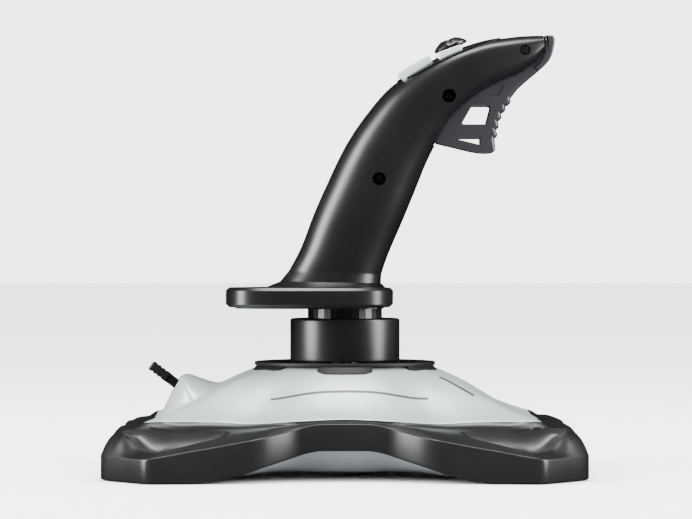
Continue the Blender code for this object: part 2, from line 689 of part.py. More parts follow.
def grip_half(name, side, paint, joint, around=10):
    """One moulded half of the grip and palm rest. side is -1 for the user's right, 1 for the left."""
    rings = []
    for t in grip_places():
        outer = [grip_point(t, side * math.pi * k / around) for k in range(around + 1)]
        inner = [grip_point(t, side * math.pi * k / around, GRIP_WALL) for k in range(around, -1, -1)]
        ring = outer + inner
        for p in ring:
            p.y = side * max(abs(p.y), GAP / 2)
        rings.append(ring)
    half = loft(name, rings, paint, joint)
    if side < 0:
        screw_bosses(half, joint)
    else:
        x, z = SIDE_BUTTON
        size = (SIDE_BUTTON_LONG + 2 * GAP, 20.0, SIDE_BUTTON_SHORT + 2 * GAP)
        cut(half, block("side_button_cutter", (x, 20.0, z), size, None, joint))
    cut(half, prism(f"{name}_slot", TRIGGER_SLOT, -TRIGGER_SLOT_HALF, TRIGGER_SLOT_HALF, None, joint))
    cut(half, panel_solid(f"{name}_panel_hole", -4.7, 4.3, 2 * GAP, None, joint))
    cut(half, control_cutter(f"{name}_controls", joint))
    return half


def screw_bosses(half, joint):
    """Sunk seats for the three screws that hold the halves together, entered from the right."""
    rings = [[grip_point(t, 2.0 * math.pi * k / 24, 1.0) for k in range(24)] for t in grip_places(1.0)]
    core = loft("boss_core", rings, None, joint)
    core.hide_render, core.display_type = True, "WIRE"
    for x, z, r in SCREW_HOLES:
        boss = rod("boss", (x, -7.6, z), (x, -30.0, z), r + 1.3, None, joint, count=20)
        boolean(boss, core, "INTERSECT")
        merge(half, boss)
    for x, z, r in SCREW_HOLES:
        cut(half, rod("seat", (x, -SEAT_DEPTH, z), (x, -40.0, z), r, None, joint, count=20))
        cut(half, rod("clearance", (x, -1.0, z), (x, -20.0, z), SCREW_SHANK + 0.25, None, joint, count=12))


def panel_solid(name, depth, height, margin, paint, joint, around=8):
    """A patch of the head's upper surface, given thickness: depth below and height above it."""
    rings = []
    reach = margin / 8.0
    first, last = PANEL_FROM - reach, PANEL_TO + reach
    count = 9
    for k in range(count + 1):
        t, share = first + (last - first) * k / count, k / count
        low, middle, high = PANEL_HALF_ANGLES
        spread = low + (middle - low) * smooth(share / 0.45) + (high - middle) * smooth((share - 0.6) / 0.4)
        spread *= math.sqrt(max(1.0 - abs(2.0 * share - 1.0) ** 8, 0.12))
        spread += margin / 16.0
        angles = [spread * (2.0 * i / around - 1.0) for i in range(around + 1)]
        upper = [grip_point(t, a, -height) for a in angles]
        lower = [grip_point(t, a, -depth) for a in reversed(angles)]
        rings.append(upper + lower)
    return loft(name, rings, paint, joint)


# Side view of the trigger, from the top of the nose round its front and under edge
TRIGGER_FRONT = ((91.7, 200.0), (94.2, 200.1), (95.7, 199.3), (96.2, 197.2), (95.2, 192.1))
TRIGGER_FRONT += ((93.2, 187.9), (89.1, 183.9), (83.7, 179.4), (79.7, 175.7), (76.0, 171.1))
TRIGGER_FOOT = ((68.6, 153.0), (69.0, 148.2), (68.2, 146.6), (65.5, 146.0), (60.0, 146.3))
TRIGGER_FOOT += ((52.0, 148.1), (41.9, 150.5))
TRIGGER_HIDDEN = ((38.8, 156.0), (41.2, 162.5), (46.4, 168.5), (55.0, 175.2), (66.0, 181.8), (76.0, 186.4))
TRIGGER_HIDDEN += ((76.6, 190.5), (79.0, 194.2), (84.5, 195.2), (91.7, 195.4))
TRIGGER_SLOT = ((26.0, 149.6), (43.6, 149.6), (60.0, 140.0), (100.0, 140.0), (100.0, 196.6), (92.0, 196.6))
TRIGGER_SLOT += ((80.0, 195.4), (66.0, 189.6), (52.0, 182.8), (40.0, 174.0), (30.0, 164.0))
TRIGGER_TEETH = 5
WINDOW = ((58.4, 167.5), (66.2, 167.5), (64.0, 160.0), (54.0, 160.0))
LOWER_WINDOW = ((51.8, 152.7), (61.8, 152.7), (61.8, 150.1))


def trigger_teeth():
    """Ribs down the finger face, as points between the front edge's two ends."""
    top, foot = Vector(TRIGGER_FRONT[-1]), Vector(TRIGGER_FOOT[0])
    bow = 1.6
    across = Vector((0.93, -0.37))
    points = []
    for k in range(1, 2 * TRIGGER_TEETH):
        u = k / (2.0 * TRIGGER_TEETH)
        p = top.lerp(foot, u) - across * bow * math.sin(math.pi * u)
        if k % 2:
            p += across * 1.1
        points.append(tuple(p))
    return points


def trigger(paint, joint):
    outline = [*TRIGGER_FRONT, *trigger_teeth(), *TRIGGER_FOOT, *TRIGGER_HIDDEN]
    blade = prism("trigger", outline, -TRIGGER_HALF, TRIGGER_HALF, paint, joint)
    cap = [*TRIGGER_FRONT[:7], (86.8, 185.0), (90.2, 189.0), (91.7, 192.4)]
    merge(blade, prism("nose_cap", cap, -NOSE_HALF, NOSE_HALF, None, joint))
    cut(blade, prism("window_cutter", WINDOW, -12, 12, None, joint))
    cut(blade, prism("lower_window_cutter", LOWER_WINDOW, -12, 12, None, joint))
    x, z = TRIGGER_PIVOT.x, TRIGGER_PIVOT.z
    return cut(blade, rod("trigger_bore", (x, -12, z), (x, 12, z), 1.5 + GAP, None, joint))


# ---------------------------------------------------------------- controls on the head
def head_frame(x, z, tilt):
    """Origin and turn of a control: its own X runs forward along the head, its Z points out."""
    turn = Matrix.Rotation(-tilt, 3, "Y")
    return Vector((x, 0.0, z)), turn


def thumb_button(name, spec, side, paint, joint):
    x, z, tilt, half, y0, y1, height = spec
    origin, turn = head_frame(x, z, tilt)
    middle = side * (y0 + y1) / 2.0
    rings = []
    for rise, inset in ((-6.0, 0.0), (height - 0.9, 0.0), (height - 0.25, 0.3), (height, 0.9)):
        ring = []
        for c, s in ((1, -1), (1, 1), (-1, 1), (-1, -1)):
            dx, dy = half - inset, (y1 - y0) / 2.0 - inset
            corner = 1.3
            for a, b in (((dx - corner) * c, dy * s), (dx * c, (dy - corner) * s)):
                ring.append((a, b))
            if c * s > 0:
                ring[-2:] = ring[-2:][::-1]
        rings.append([origin + turn @ Vector((a, middle + b, rise)) for a, b in order_round(ring)])
    return loft(name, rings, paint, joint)


def order_round(points):
    """Points about their own middle, in turning order."""
    return sorted(points, key=lambda p: math.atan2(p[1], p[0]))


def hat_cap(paint, joint):
    """Four-way thumb hat on a stem: a flat-topped cone, a little narrower across than along the head."""
    x, z, tilt, radius, height = HAT
    origin, turn = head_frame(x, z, tilt)
    rows = ((-3.4, 2.0), (1.9, 2.0), (1.9, radius - 0.6), (2.3, radius), (3.6, radius - 0.2))
    rows += ((height - 0.3, 4.4), (height, 3.6), (height - 0.4, 2.4), (height - 0.6, 0.4))
    rings = []
    for rise, r in rows:
        across = 1.0 - 0.08 * smooth((r - 2.0) / 3.0)
        rings.append([origin + turn @ Vector((a, b * across, rise)) for a, b in circle(r, 24)])
    return loft("hat_cap", rings, paint, joint)


def control_cutter(name, joint):
    """Openings in the thumb panel for the four buttons and the hat."""
    parts = []
    for spec in (LOWER_BUTTON, UPPER_BUTTON):
        x, z, tilt, half, y0, y1, _ = spec
        origin, turn = head_frame(x, z, tilt)
        for side in (-1, 1):
            centre = origin + Vector((0, side * (y0 + y1) / 2.0, 0))
            size = (2 * half + 2 * GAP, y1 - y0 + 2 * GAP, 16.0)
            parts.append(block("hole", centre, size, None, turn=turn, chamfer=0.8))
    x, z, tilt, radius, _ = HAT
    origin, turn = head_frame(x, z, tilt)
    out = turn @ Vector((0, 0, 1))
    parts.append(rod("hole", origin - out * 8, origin + out * 8, 3.6, None))
    return gather(name, parts, joint)


def thumb_panel(paint, joint):
    panel = panel_solid("thumb_panel", -1.6, 0.5, 0.0, paint, joint)
    return cut(panel, control_cutter("control_cutter", joint))


def side_button(paint, joint):
    """Thumb button on the grip's left flank."""
    x, z = SIDE_BUTTON
    half_x, half_z = SIDE_BUTTON_LONG / 2.0, SIDE_BUTTON_SHORT / 2.0
    rings = []
    for y, inset in ((13.2, 0.0), (18.9, 0.0), (19.6, 0.5), (19.8, 1.2)):
        dx, dz, c = half_x - inset, half_z - inset, 1.6
        outline = ((dx - c, -dz), (dx, c - dz), (dx, dz - c), (dx - c, dz))
        outline += ((c - dx, dz), (-dx, dz - c), (-dx, c - dz), (c - dx, -dz))
        rings.append([(x + a, y, z + b) for a, b in outline])
    return loft("side_button", rings, paint, joint)


# ---------------------------------------------------------------- throttle
def throttle_outline():
    """The lever's flat outline, along and across the arm."""
    hub = 7.0
    points = [(28.5, -6.0), (LEVER_REACH, -6.0), (LEVER_REACH, 6.0), (28.5, 6.0), (27.0, 4.0)]
    for k in range(11):
        a = math.radians(35.0 + 29.0 * k)
        points.append((hub * math.cos(a), hub * math.sin(a)))
    return points + [(27.0, -4.0)]


def throttle_lever(paint, joint):
    outline = throttle_outline()
    rings = [[throttle_point(u, v, w) for u, v in outline] for w in (-LEVER_HALF_THICK, LEVER_HALF_THICK)]
    lever = loft("throttle_lever", rings, paint, joint)
    bore = rod("lever_bore", throttle_point(0, 0, -6), throttle_point(0, 0, 6), 2.0 + GAP, None, joint)
    return cut(lever, bore)


def throttle_bracket(paint):
    """Plate under the lever that carries its pin, on legs from the bottom cover."""
    centre = throttle_point(0, 0, -6.5)
    plate = block("throttle_bracket", centre, (26.0, 30.0, 2.0), paint, turn=basis(THROTTLE_AXIS), chamfer=3.0)
    legs = []
    turn = basis(THROTTLE_AXIS)
    for sx, sy in ((-9.0, -11.0), (-9.0, 11.0), (9.0, -11.0), (9.0, 11.0)):
        top = centre + turn @ Vector((sx, sy, 0.0))
        legs.append(rod("bracket_leg", (top.x, top.y, 8.6), top, 2.2, None, count=10))
    merge(plate, *legs)
    bore = rod("bracket_bore", throttle_point(0, 0, -9), throttle_point(0, 0, -4), 2.0 + GAP, None)
    return cut(plate, bore)


# ---------------------------------------------------------------- the whole joystick
PAINTS = {
    "black": ((0.018, 0.018, 0.020), 0.42, 0.0),
    "silver": ((0.60, 0.66, 0.66), 0.34, 0.0),
    "grey": ((0.16, 0.18, 0.20), 0.45, 0.0),
    "button": ((0.72, 0.78, 0.78), 0.3, 0.0),
    "nylon": ((0.72, 0.71, 0.66), 0.5, 0.0),
    "rubber": ((0.02, 0.02, 0.02), 0.85, 0.0),
    "steel": ((0.55, 0.55, 0.56), 0.3, 1.0),
    "circuit": ((0.02, 0.16, 0.07), 0.5, 0.0),
}


def paint(name, kind):
    """A material of its own for one node."""
    return material(name, *PAINTS[kind])


def build_base():
    base_frame(paint("base_frame", "black"))
    base_top_shell(paint("base_top_shell", "silver"))
    base_bottom_cover(paint("base_bottom_cover", "grey"))
    x, y = GLAND
    z = cover_under(math.atan2(y, x), math.hypot(x, y))
    rod("cable_gland", (x, y, z - 1.6), (x, y, z + 5.0), 3.4, paint("cable_gland", "rubber"), bore=2.3)
    rubber_feet()
    opening_bezel(paint("opening_bezel", "black"))
    gimbal_housing(paint("gimbal_housing", "nylon"))
    gimbal_spring("pitch_spring", (0, 1, 0), 14.8, 17.3, 3.2, 0.3, paint("pitch_spring", "steel"))
    ballast(paint("ballast_ring", "steel"))
    for number, (x, y) in enumerate(four_corners(*BASE_SCREW), 1):
        z = cover_under(math.atan2(y, x), math.hypot(x, y)) - GAP
        screw(f"base_screw_{number}", (x, y, z), (0, 0, -1), (2.8, 1.2, 1.4, 12.0))

    block("hall_sensor", (0, 0, DECK_Z1 + GAP + 1.0), (18, 18, 2.0), paint("hall_sensor", "circuit"))
    block("main_circuit_board", (53.5, 0, 13.2), (44, 50, 1.6), paint("main_circuit_board", "circuit"))
    turn = basis(BUTTON_AXIS)
    middle = Vector((0, sum(BUTTON_COLUMNS) / 2.0, shell_top(0, sum(BUTTON_COLUMNS) / 2.0)))
    board = middle - Vector(BUTTON_AXIS) * 9.8
    plate = block("button_circuit_board", board, (60, 22, 1.6), paint("button_circuit_board", "circuit"), turn=turn)
    switches = []
    for _, seat in button_seats():
        offset = (seat - middle) - Vector(BUTTON_AXIS) * (seat - middle).dot(BUTTON_AXIS)
        switches.append(block("switch", board + offset + Vector(BUTTON_AXIS) * 1.4, (6, 6, 1.8), None, turn=turn))
    merge(plate, gather("button_switches", switches))

    start, end = throttle_point(0, 0, -9.2), throttle_point(0, 0, 4.0)
    rod("throttle_pin", start, end, 2.0, paint("throttle_pin", "steel"))
    throttle_bracket(paint("throttle_bracket", "nylon"))
    centre = throttle_point(0, 0, -11.9)
    block("throttle_sensor", centre, (10, 12, 4.6), paint("throttle_sensor", "black"), turn=basis(THROTTLE_AXIS))
    throttle_lever(paint("throttle_lever", "black"), empty("throttle_joint", THROTTLE_PIVOT))

    for name, seat in button_seats():
        joint = empty(f"{name}_joint", seat)
        base_button(name, seat, turn, paint(name, "black"), joint)


def base_button(name, seat, turn, paint_of_it, joint):
    rings = []
    for rise, inset in ((-4.5, 0.0), (1.3, 0.0), (1.8, 0.5)):
        dx, dy, c = BUTTON_LONG / 2.0 - inset, BUTTON_SHORT / 2.0 - inset, 1.6
        outline = ((dx - c, -dy), (dx, c - dy), (dx, dy - c), (dx - c, dy))
        outline += ((c - dx, dy), (-dx, dy - c), (-dx, c - dy), (c - dx, -dy))
        rings.append([seat + turn @ Vector((a, b, rise)) for a, b in outline])
    return loft(name, rings, paint_of_it, joint)


def build_stick():
    ring_joint = empty("pitch_joint", PIVOT)
    stick = empty("roll_joint", PIVOT, ring_joint)
    gimbal_ring(paint("gimbal_ring", "nylon"), ring_joint)
    gimbal_cross(paint("gimbal_cross", "nylon"), stick)
    gimbal_spring("roll_spring", (1, 0, 0), 8.9, 10.7, 3.0, 0.2, paint("roll_spring", "steel"), stick)
    shaft(paint("stick_shaft", "steel"), stick)
    magnet = ((0.0, SHAFT_Z0 - 0.6), (SHAFT_BORE - GAP, SHAFT_Z0 - 0.6), (SHAFT_BORE - GAP, SHAFT_Z0 + 3.0))
    lathe("shaft_magnet", (*magnet, (0.0, SHAFT_Z0 + 3.0)), paint("shaft_magnet", "steel"), stick, count=24)
    ball_cover(paint("ball_cover", "black"), stick)
    collar(paint("twist_collar", "black"), stick)
    return stick


def build_grip(stick):
    grip = empty("twist_joint", (0, 0, 66.0), stick)
    grip_half("grip_shell_right", -1, paint("grip_shell_right", "black"), grip)
    grip_half("grip_shell_left", 1, paint("grip_shell_left", "black"), grip)
    thumb_panel(paint("thumb_panel", "black"), grip)

    top = 77.3
    neck = ((NECK_BORE, NECK_Z0), (NECK_RADIUS, NECK_Z0), (NECK_RADIUS, top), (19.2, top), (19.2, top + 2.0))
    lathe("grip_neck", (*neck, (NECK_BORE, top + 2.0)), paint("grip_neck", "black"), grip)
    bearing = ((SHAFT_RADIUS + 0.2, 62.5), (NECK_BORE - GAP, 62.5), (NECK_BORE - GAP, 74.5), (SHAFT_RADIUS + 0.2, 74.5))
    lathe("twist_bearing", bearing, paint("twist_bearing", "nylon"), grip)
    rings = [
        [(p.x, p.y, z) for p in (grip_point(0.0, math.pi * k / 10, GRIP_WALL + GAP) for k in range(20))]
        for z in (75.0, 77.0)
    ]
    under = loft("palm_under_cover", rings, paint("palm_under_cover", "black"), grip)
    cut(under, rod("under_cover_bore", (0, 0, 70), (0, 0, 82), NECK_RADIUS + GAP, None, grip, count=48))
    coil("twist_spring", (0, 0, 87.0), (0, 0, 1), 8.6, 0.7, 4.0, 2.4, paint("twist_spring", "steel"), grip)
    sensor = ((0.0, SHAFT_Z1 + GAP), (7.0, SHAFT_Z1 + GAP), (7.0, SHAFT_Z1 + 5.3), (0.0, SHAFT_Z1 + 5.3))
    lathe("twist_sensor", sensor, paint("twist_sensor", "black"), grip, count=24)

    for number, (x, z, _) in enumerate(SCREW_HOLES, 1):
        seat = (x, -SEAT_DEPTH - GAP, z)
        screw(f"grip_screw_{number}", seat, (0, -1, 0), (2.0, 1.4, SCREW_SHANK, 2.0), grip)

    tilt = math.radians(25.0)
    origin, turn = head_frame(41.0, 188.4, tilt)
    centre = origin + turn @ Vector((0, 0, -9.6))
    block("thumb_circuit_board", centre, (30, 25, 1.4), paint("thumb_circuit_board", "circuit"), grip, turn=turn)

    pivot = Vector(TRIGGER_PIVOT)
    pin_ends = pivot - Vector((0, 7.2, 0)), pivot + Vector((0, 9.6, 0))
    rod("trigger_pin", *pin_ends, 1.5, paint("trigger_pin", "steel"), grip, count=14)
    spring = pivot + Vector((0, 8.2, 0))
    coil("trigger_spring", spring, (0, 1, 0), 2.4, 0.3, 2.0, 0.75, paint("trigger_spring", "steel"), grip)
    block("trigger_switch", (27.5, 0, 156.0), (6.4, 11.0, 9.0), paint("trigger_switch", "black"), grip)
    trigger(paint("trigger", "black"), empty("trigger_joint", pivot, grip))

    number = 3
    for spec in (LOWER_BUTTON, UPPER_BUTTON):
        for side in (-1, 1):
            x, z, _, _, y0, y1, _ = spec
            name = f"thumb_button_{number}"
            joint = empty(f"{name}_joint", (x, side * (y0 + y1) / 2.0, z), grip)
            thumb_button(name, spec, side, paint(name, "button"), joint)
            number += 1
    x, z = SIDE_BUTTON
    side_button(paint("side_button", "black"), empty("side_button_joint", (x, 18.0, z), grip))

    origin, turn = head_frame(*HAT[:3])
    pivot = origin + turn @ Vector((0, 0, -2.0))
    hat_pivot = empty("hat_fore_joint", pivot, grip)
    rod("hat_rocker", origin + turn @ Vector((0, 0, -5.4)), origin + turn @ Vector((0, 0, -3.8)), 2.8,
        paint("hat_rocker", "nylon"), hat_pivot)
    hat_cap(paint("hat_cap", "black"), empty("hat_side_joint", pivot, hat_pivot))


def clear():
    for made in list(bpy.data.objects):
        bpy.data.objects.remove(made)


clear()
build_base()
build_grip(build_stick())
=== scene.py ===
import json
import math

import bmesh
import bpy
from mathutils import Matrix, Vector


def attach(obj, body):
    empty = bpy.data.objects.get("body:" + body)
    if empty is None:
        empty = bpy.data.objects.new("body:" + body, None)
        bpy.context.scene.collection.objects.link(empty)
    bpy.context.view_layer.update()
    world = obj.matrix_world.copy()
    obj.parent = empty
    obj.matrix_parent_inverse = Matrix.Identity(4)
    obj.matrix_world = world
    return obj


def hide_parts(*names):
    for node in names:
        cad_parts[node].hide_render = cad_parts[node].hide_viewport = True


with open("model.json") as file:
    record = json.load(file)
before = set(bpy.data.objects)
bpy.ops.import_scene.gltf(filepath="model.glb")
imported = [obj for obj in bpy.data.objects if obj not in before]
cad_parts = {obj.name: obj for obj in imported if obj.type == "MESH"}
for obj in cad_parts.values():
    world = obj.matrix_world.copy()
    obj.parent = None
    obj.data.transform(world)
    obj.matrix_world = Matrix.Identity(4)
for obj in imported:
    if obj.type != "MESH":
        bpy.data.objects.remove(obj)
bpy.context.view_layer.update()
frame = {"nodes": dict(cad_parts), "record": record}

# The flight joystick's visible pieces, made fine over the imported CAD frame. Sizes are millimetres
# in the frame's own axes: +X forward, +Y to the user's left, +Z up, origin on the desk.
MM = 0.001

# ---------------------------------------------------------------- sizes shared with the CAD part
WALL_X_MID, WALL_X_END = 97.5, 107.9
WALL_Y_MID, WALL_Y_SHOULDER, LOBE_SPLAY = 76.0, 88.3, 12.9
FACET_NORMAL = Vector((0.773, 0.635))
FACET_REACH = 126.1
SHELL_FRONT, SHELL_BACK = (88.5, 87.5), (92.5, 89.5)
SHELL_Y_MID, SHELL_Y_END = 69.5, 62.5
CORNER_SOFTNESS, SHELL_SOFTNESS = 1.5, 2.2
WALL_FOOT, WALL_TOP = 0.5, 10.9
END_RISE, SIDE_RISE, SIDE_SAG = 11.3, 4.4, 3.1
ARCH_Y, ARCH_X = 13.0, 11.0
RIM_Z, RIM_Z_SIDE, RIM_Z_DIP, RIM_Z_FRONT, RIM_Z_BACK = 25.8, 27.1, 24.8, 24.3, 22.2
SHELL_TOP_Z, SHELL_OPENING = 48.6, 39.0
SHELL_WALL, FRAME_WALL, COVER_WALL, LEDGE = 2.2, 2.5, 2.0, 4.0
PAN_RADIUS, PAN_Z = 55.0, 3.0
DISH_X, DISH_Y, DISH_DEPTH = 76.0, 76.5, 6.5
DISH_SIDES = ((-0.17, -0.985, 9.0), (1.0, 0.0, 23.0), (0.773, 0.635, 13.0))
DISH_SIDES += ((-0.311, 0.95, 11.0), (-1.0, 0.0, 26.0))
FOOT_X, FOOT_Y, FOOT_RADIUS, FOOT_HEIGHT = 84.0, 77.0, 9.0, 1.3
BASE_SCREW, GLAND = (66.0, 50.0), (30.0, 60.0)
BASE_SCREW_HOLE, GLAND_HOLE = 1.7, 3.7  # radii
PIVOT_Z = 44.6
OPENING_RADIUS, BEZEL_RADIUS, BEZEL_TOP = 30.8, 41.5, 50.6
LOBES, LOBE_HALF_ANGLE, LOBE_REACH = 6, math.radians(17.0), 2.6
BALL_RADIUS, BALL_WALL, BALL_END = 30.2, 1.8, math.radians(104.0)
COLLAR_RADIUS, COLLAR_Z0, COLLAR_Z1, COLLAR_WALL = 25.2, 50.6, 70.4, 2.4
NECK_RADIUS = 17.1
THROTTLE_PIVOT = Vector((-58.9, 0.0, 26.2))
THROTTLE_ARM, THROTTLE_AXIS = Vector((-0.8, 0.0, 0.6)), Vector((0.6, 0.0, 0.8))
DRUM_FACE, DRUM_SLOPE, DRUM_HALF = (-80.5, 34.4), 2.1, 17.5
CREST_X, CREST_Z = -72.0, 44.6
LEVER_REACH, LEVER_HALF_THICK = 37.8, 2.0
SLOT_HALF_THICK, SLOT_HALF_LENGTH = 2.9, 17.2
BUTTON_AXIS = Vector((0.0, 0.6, 0.8))
BUTTON_ROWS, BUTTON_COLUMNS = (-19.0, 0.0, 19.0), (51.5, 62.0)
BUTTON_LONG, BUTTON_SHORT = 12.0, 7.5
BUTTON_GAP = 0.25  # clearance round each button in its hole
GRIP_WALL = 2.2
TRIGGER_HALF, TRIGGER_SLOT_HALF, NOSE_HALF = 6.4, 7.0, 8.6
SCREW_HOLES = ((15.6, 134.1, 3.0), (47.4, 171.8, 3.1), (82.3, 193.0, 2.4))
SEAT_DEPTH, BOSS_WALL, SCREW_CLEARANCE = 9.4, 1.3, 1.5
SIDE_BUTTON, SIDE_BUTTON_LONG, SIDE_BUTTON_SHORT = (29.0, 168.0), 12.0, 7.0
GRIP_STATIONS = (
    (-53.0, 75.6, 20.6, 75.6, 36.5, 24.5, 4.0, 0.0),
    (-54.5, 77.0, 22.1, 77.0, 38.0, 26.0, 4.0, 0.0),
    (-54.5, 83.2, 22.1, 83.2, 38.0, 26.0, 4.0, -2.1),
    (-53.2, 84.5, 21.0, 84.3, 36.8, 24.8, 4.0, -2.3),
    (-36.0, 84.8, 18.6, 84.5, 22.0, 19.5, 2.4, -2.3),
    (-29.8, 87.3, 16.6, 86.5, 18.0, 17.5, 2.3, -1.5),
    (-25.8, 92.2, 16.8, 90.6, 17.0, 16.8, 2.3, 0.0),
    (-20.2, 102.8, 18.4, 95.5, 17.0, 16.8, 2.3, 0.0),
    (-14.4, 118.0, 21.0, 102.3, 17.4, 17.2, 2.3, 0.0),
    (-8.0, 132.5, 27.0, 116.2, 18.0, 17.6, 2.3, 0.0),
    (0.0, 149.0, 33.1, 131.0, 18.2, 18.0, 2.3, 0.0),
    (9.0, 162.7, 37.4, 141.6, 18.2, 18.0, 2.4, 0.0),
    (20.4, 175.9, 42.6, 152.0, 18.4, 18.2, 2.6, 0.0),
    (34.0, 184.9, 48.6, 161.8, 18.6, 18.4, 3.0, 0.0),
    (48.8, 192.2, 58.4, 171.4, 18.0, 17.8, 3.5, 0.0),
    (63.3, 197.1, 69.0, 177.6, 16.2, 16.0, 3.4, 0.0),
    (76.0, 199.3, 79.4, 181.9, 13.8, 13.6, 3.0, 0.0),
    (85.0, 200.1, 87.0, 186.8, 11.4, 11.3, 2.6, 0.0),
    (91.2, 200.2, 91.2, 191.8, 9.2, 9.2, 2.3, 0.0),
)
FIRST_SPLINE_STATION = 6
LOWER_BUTTON = (32.8, 184.2, math.radians(30.5), 8.1, 1.2, 11.0, 3.1)
UPPER_BUTTON = (48.0, 191.7, math.radians(20.0), 5.9, 9.2, 13.4, 2.1)
HAT = (49.6, 192.5, math.radians(20.0), 7.8, 6.3)
HAT_HOLE = 3.6
PANEL_HOLE_DEPTH, PANEL_HOLE_HEIGHT, PANEL_THICK, PANEL_PROUD = 4.7, 4.3, 1.6, 0.5
PANEL_FROM, PANEL_TO = 12.3, 15.6
PANEL_HALF_ANGLES = math.radians(34.0), math.radians(46.0), math.radians(26.0)
TRIGGER_FRONT = ((91.7, 200.0), (94.2, 200.05), (95.7, 199.3), (96.2, 197.2), (95.2, 192.1))
TRIGGER_FRONT += ((93.2, 187.9), (89.1, 183.9), (83.7, 179.4), (79.7, 175.7), (76.0, 171.1))
TRIGGER_FOOT = ((68.6, 153.0), (69.0, 148.2), (68.2, 146.6), (65.5, 146.0), (60.0, 146.3))
TRIGGER_FOOT += ((52.0, 148.1), (41.9, 150.5))
TRIGGER_HIDDEN = ((38.8, 156.0), (41.2, 162.5), (46.4, 168.5), (55.0, 175.2), (66.0, 181.8), (76.0, 186.4))
TRIGGER_HIDDEN += ((76.6, 190.5), (79.0, 194.2), (84.5, 195.2), (91.7, 195.4))
TRIGGER_SLOT = ((26.0, 149.6), (43.6, 149.6), (60.0, 140.0), (100.0, 140.0), (100.0, 196.6), (92.0, 196.6))
TRIGGER_SLOT += ((80.0, 195.4), (66.0, 189.6), (52.0, 182.8), (40.0, 174.0), (30.0, 164.0))
TRIGGER_PIVOT = (80.5, 190.5)
TRIGGER_TEETH = 5
TRIGGER_FACING = Vector((0.93, -0.37))  # the way the finger face looks
WINDOW = ((58.2, 167.6), (66.7, 167.6), (64.5, 159.3), (53.4, 159.3))
LOWER_WINDOW = ((50.2, 152.8), (61.9, 152.8), (61.9, 149.9))

# ---------------------------------------------------------------- sizes of the fine pieces only
ROUND = 192  # points round the base's turned and polar pieces
SEAM = 0.07  # half the parting line between the halves of the grip
RIM_GAP = 0.25  # visible line between the silver shell and the black frame
DISH_CURVE = 2.6  # how flat the floor of a dish is before its sides rise


# ---------------------------------------------------------------- small maths
def smooth(t):
    t = min(max(t, 0.0), 1.0)
    return t * t * (3.0 - 2.0 * t)


def mix(a, b, t):
    return a + (b - a) * t


def soft_min(values, softness):
    low = min(values)
    return low - softness * math.log(sum(math.exp((low - v) / softness) for v in values))


def soft_max(values, softness):
    return -soft_min([-v for v in values], softness)


def circle(radius, count, start=0.0):
    turn = 2.0 * math.pi / count
    return [(radius * math.cos(start + k * turn), radius * math.sin(start + k * turn)) for k in range(count)]


def spline(values, t):
    """Catmull-Rom through a list of equal-length tuples, at the place t counted in items."""
    last = len(values) - 1
    k = min(max(int(t), 0), last - 1)
    u = t - k
    a, b, c, d = (values[min(max(k + i, 0), last)] for i in (-1, 0, 1, 2))
    return tuple(
        0.5 * (2 * q + (r - p) * u + (2 * p - 5 * q + 4 * r - s) * u * u + (3 * q - p - 3 * r + s) * u**3)
        for p, q, r, s in zip(a, b, c, d)
    )


def curve_through(points, per_span=6):
    """A smooth open line through the given 2D points."""
    last = len(points) - 1
    return [spline(points, k / per_span) for k in range(last * per_span + 1)]


def rounded(points, radius, steps=5, closed=True):
    """The same 2D outline with its corners rounded, each by at most half of its shorter side."""
    result = []
    count = len(points)
    for k in range(count):
        p = Vector(points[k])
        if not closed and k in (0, count - 1):
            result.append(tuple(p))
            continue
        before, after = Vector(points[k - 1]), Vector(points[(k + 1) % count])
        turn = (before - p).angle(after - p, math.pi)
        if math.pi - turn < 0.06:
            result.append(tuple(p))
            continue
        shorter = min((before - p).length, (after - p).length)
        reach = min(radius / max(math.tan(turn / 2.0), 0.05), 0.48 * shorter)
        a, b = p + (before - p).normalized() * reach, p + (after - p).normalized() * reach
        for i in range(steps + 1):
            u = i / steps
            result.append(tuple(a * (1 - u) ** 2 + p * (2 * u * (1 - u)) + b * u * u))
    return result


# ---------------------------------------------------------------- materials
def node_tree(name):
    made = bpy.data.materials.new(name)
    made.use_nodes = True
    return made, made.node_tree.nodes, made.node_tree.links


def noise(nodes, links, scale, detail=2.0, roughness=0.5):
    """Noise over the piece's own coordinates; scale is counted per metre."""
    place = nodes.new("ShaderNodeTexCoord")
    made = nodes.new("ShaderNodeTexNoise")
    made.inputs["Scale"].default_value = scale
    made.inputs["Detail"].default_value = detail
    made.inputs["Roughness"].default_value = roughness
    links.new(place.outputs["Object"], made.inputs["Vector"])
    return made


def ramp(nodes, links, source, low, high, start=0.35, end=0.65):
    """A value or colour that runs from low to high as the noise does."""
    made = nodes.new("ShaderNodeValToRGB")
    first, last = made.color_ramp.elements
    first.position, last.position = start, end
    first.color = (*low, 1.0) if isinstance(low, tuple) else (low, low, low, 1.0)
    last.color = (*high, 1.0) if isinstance(high, tuple) else (high, high, high, 1.0)
    links.new(source, made.inputs["Fac"])
    return made


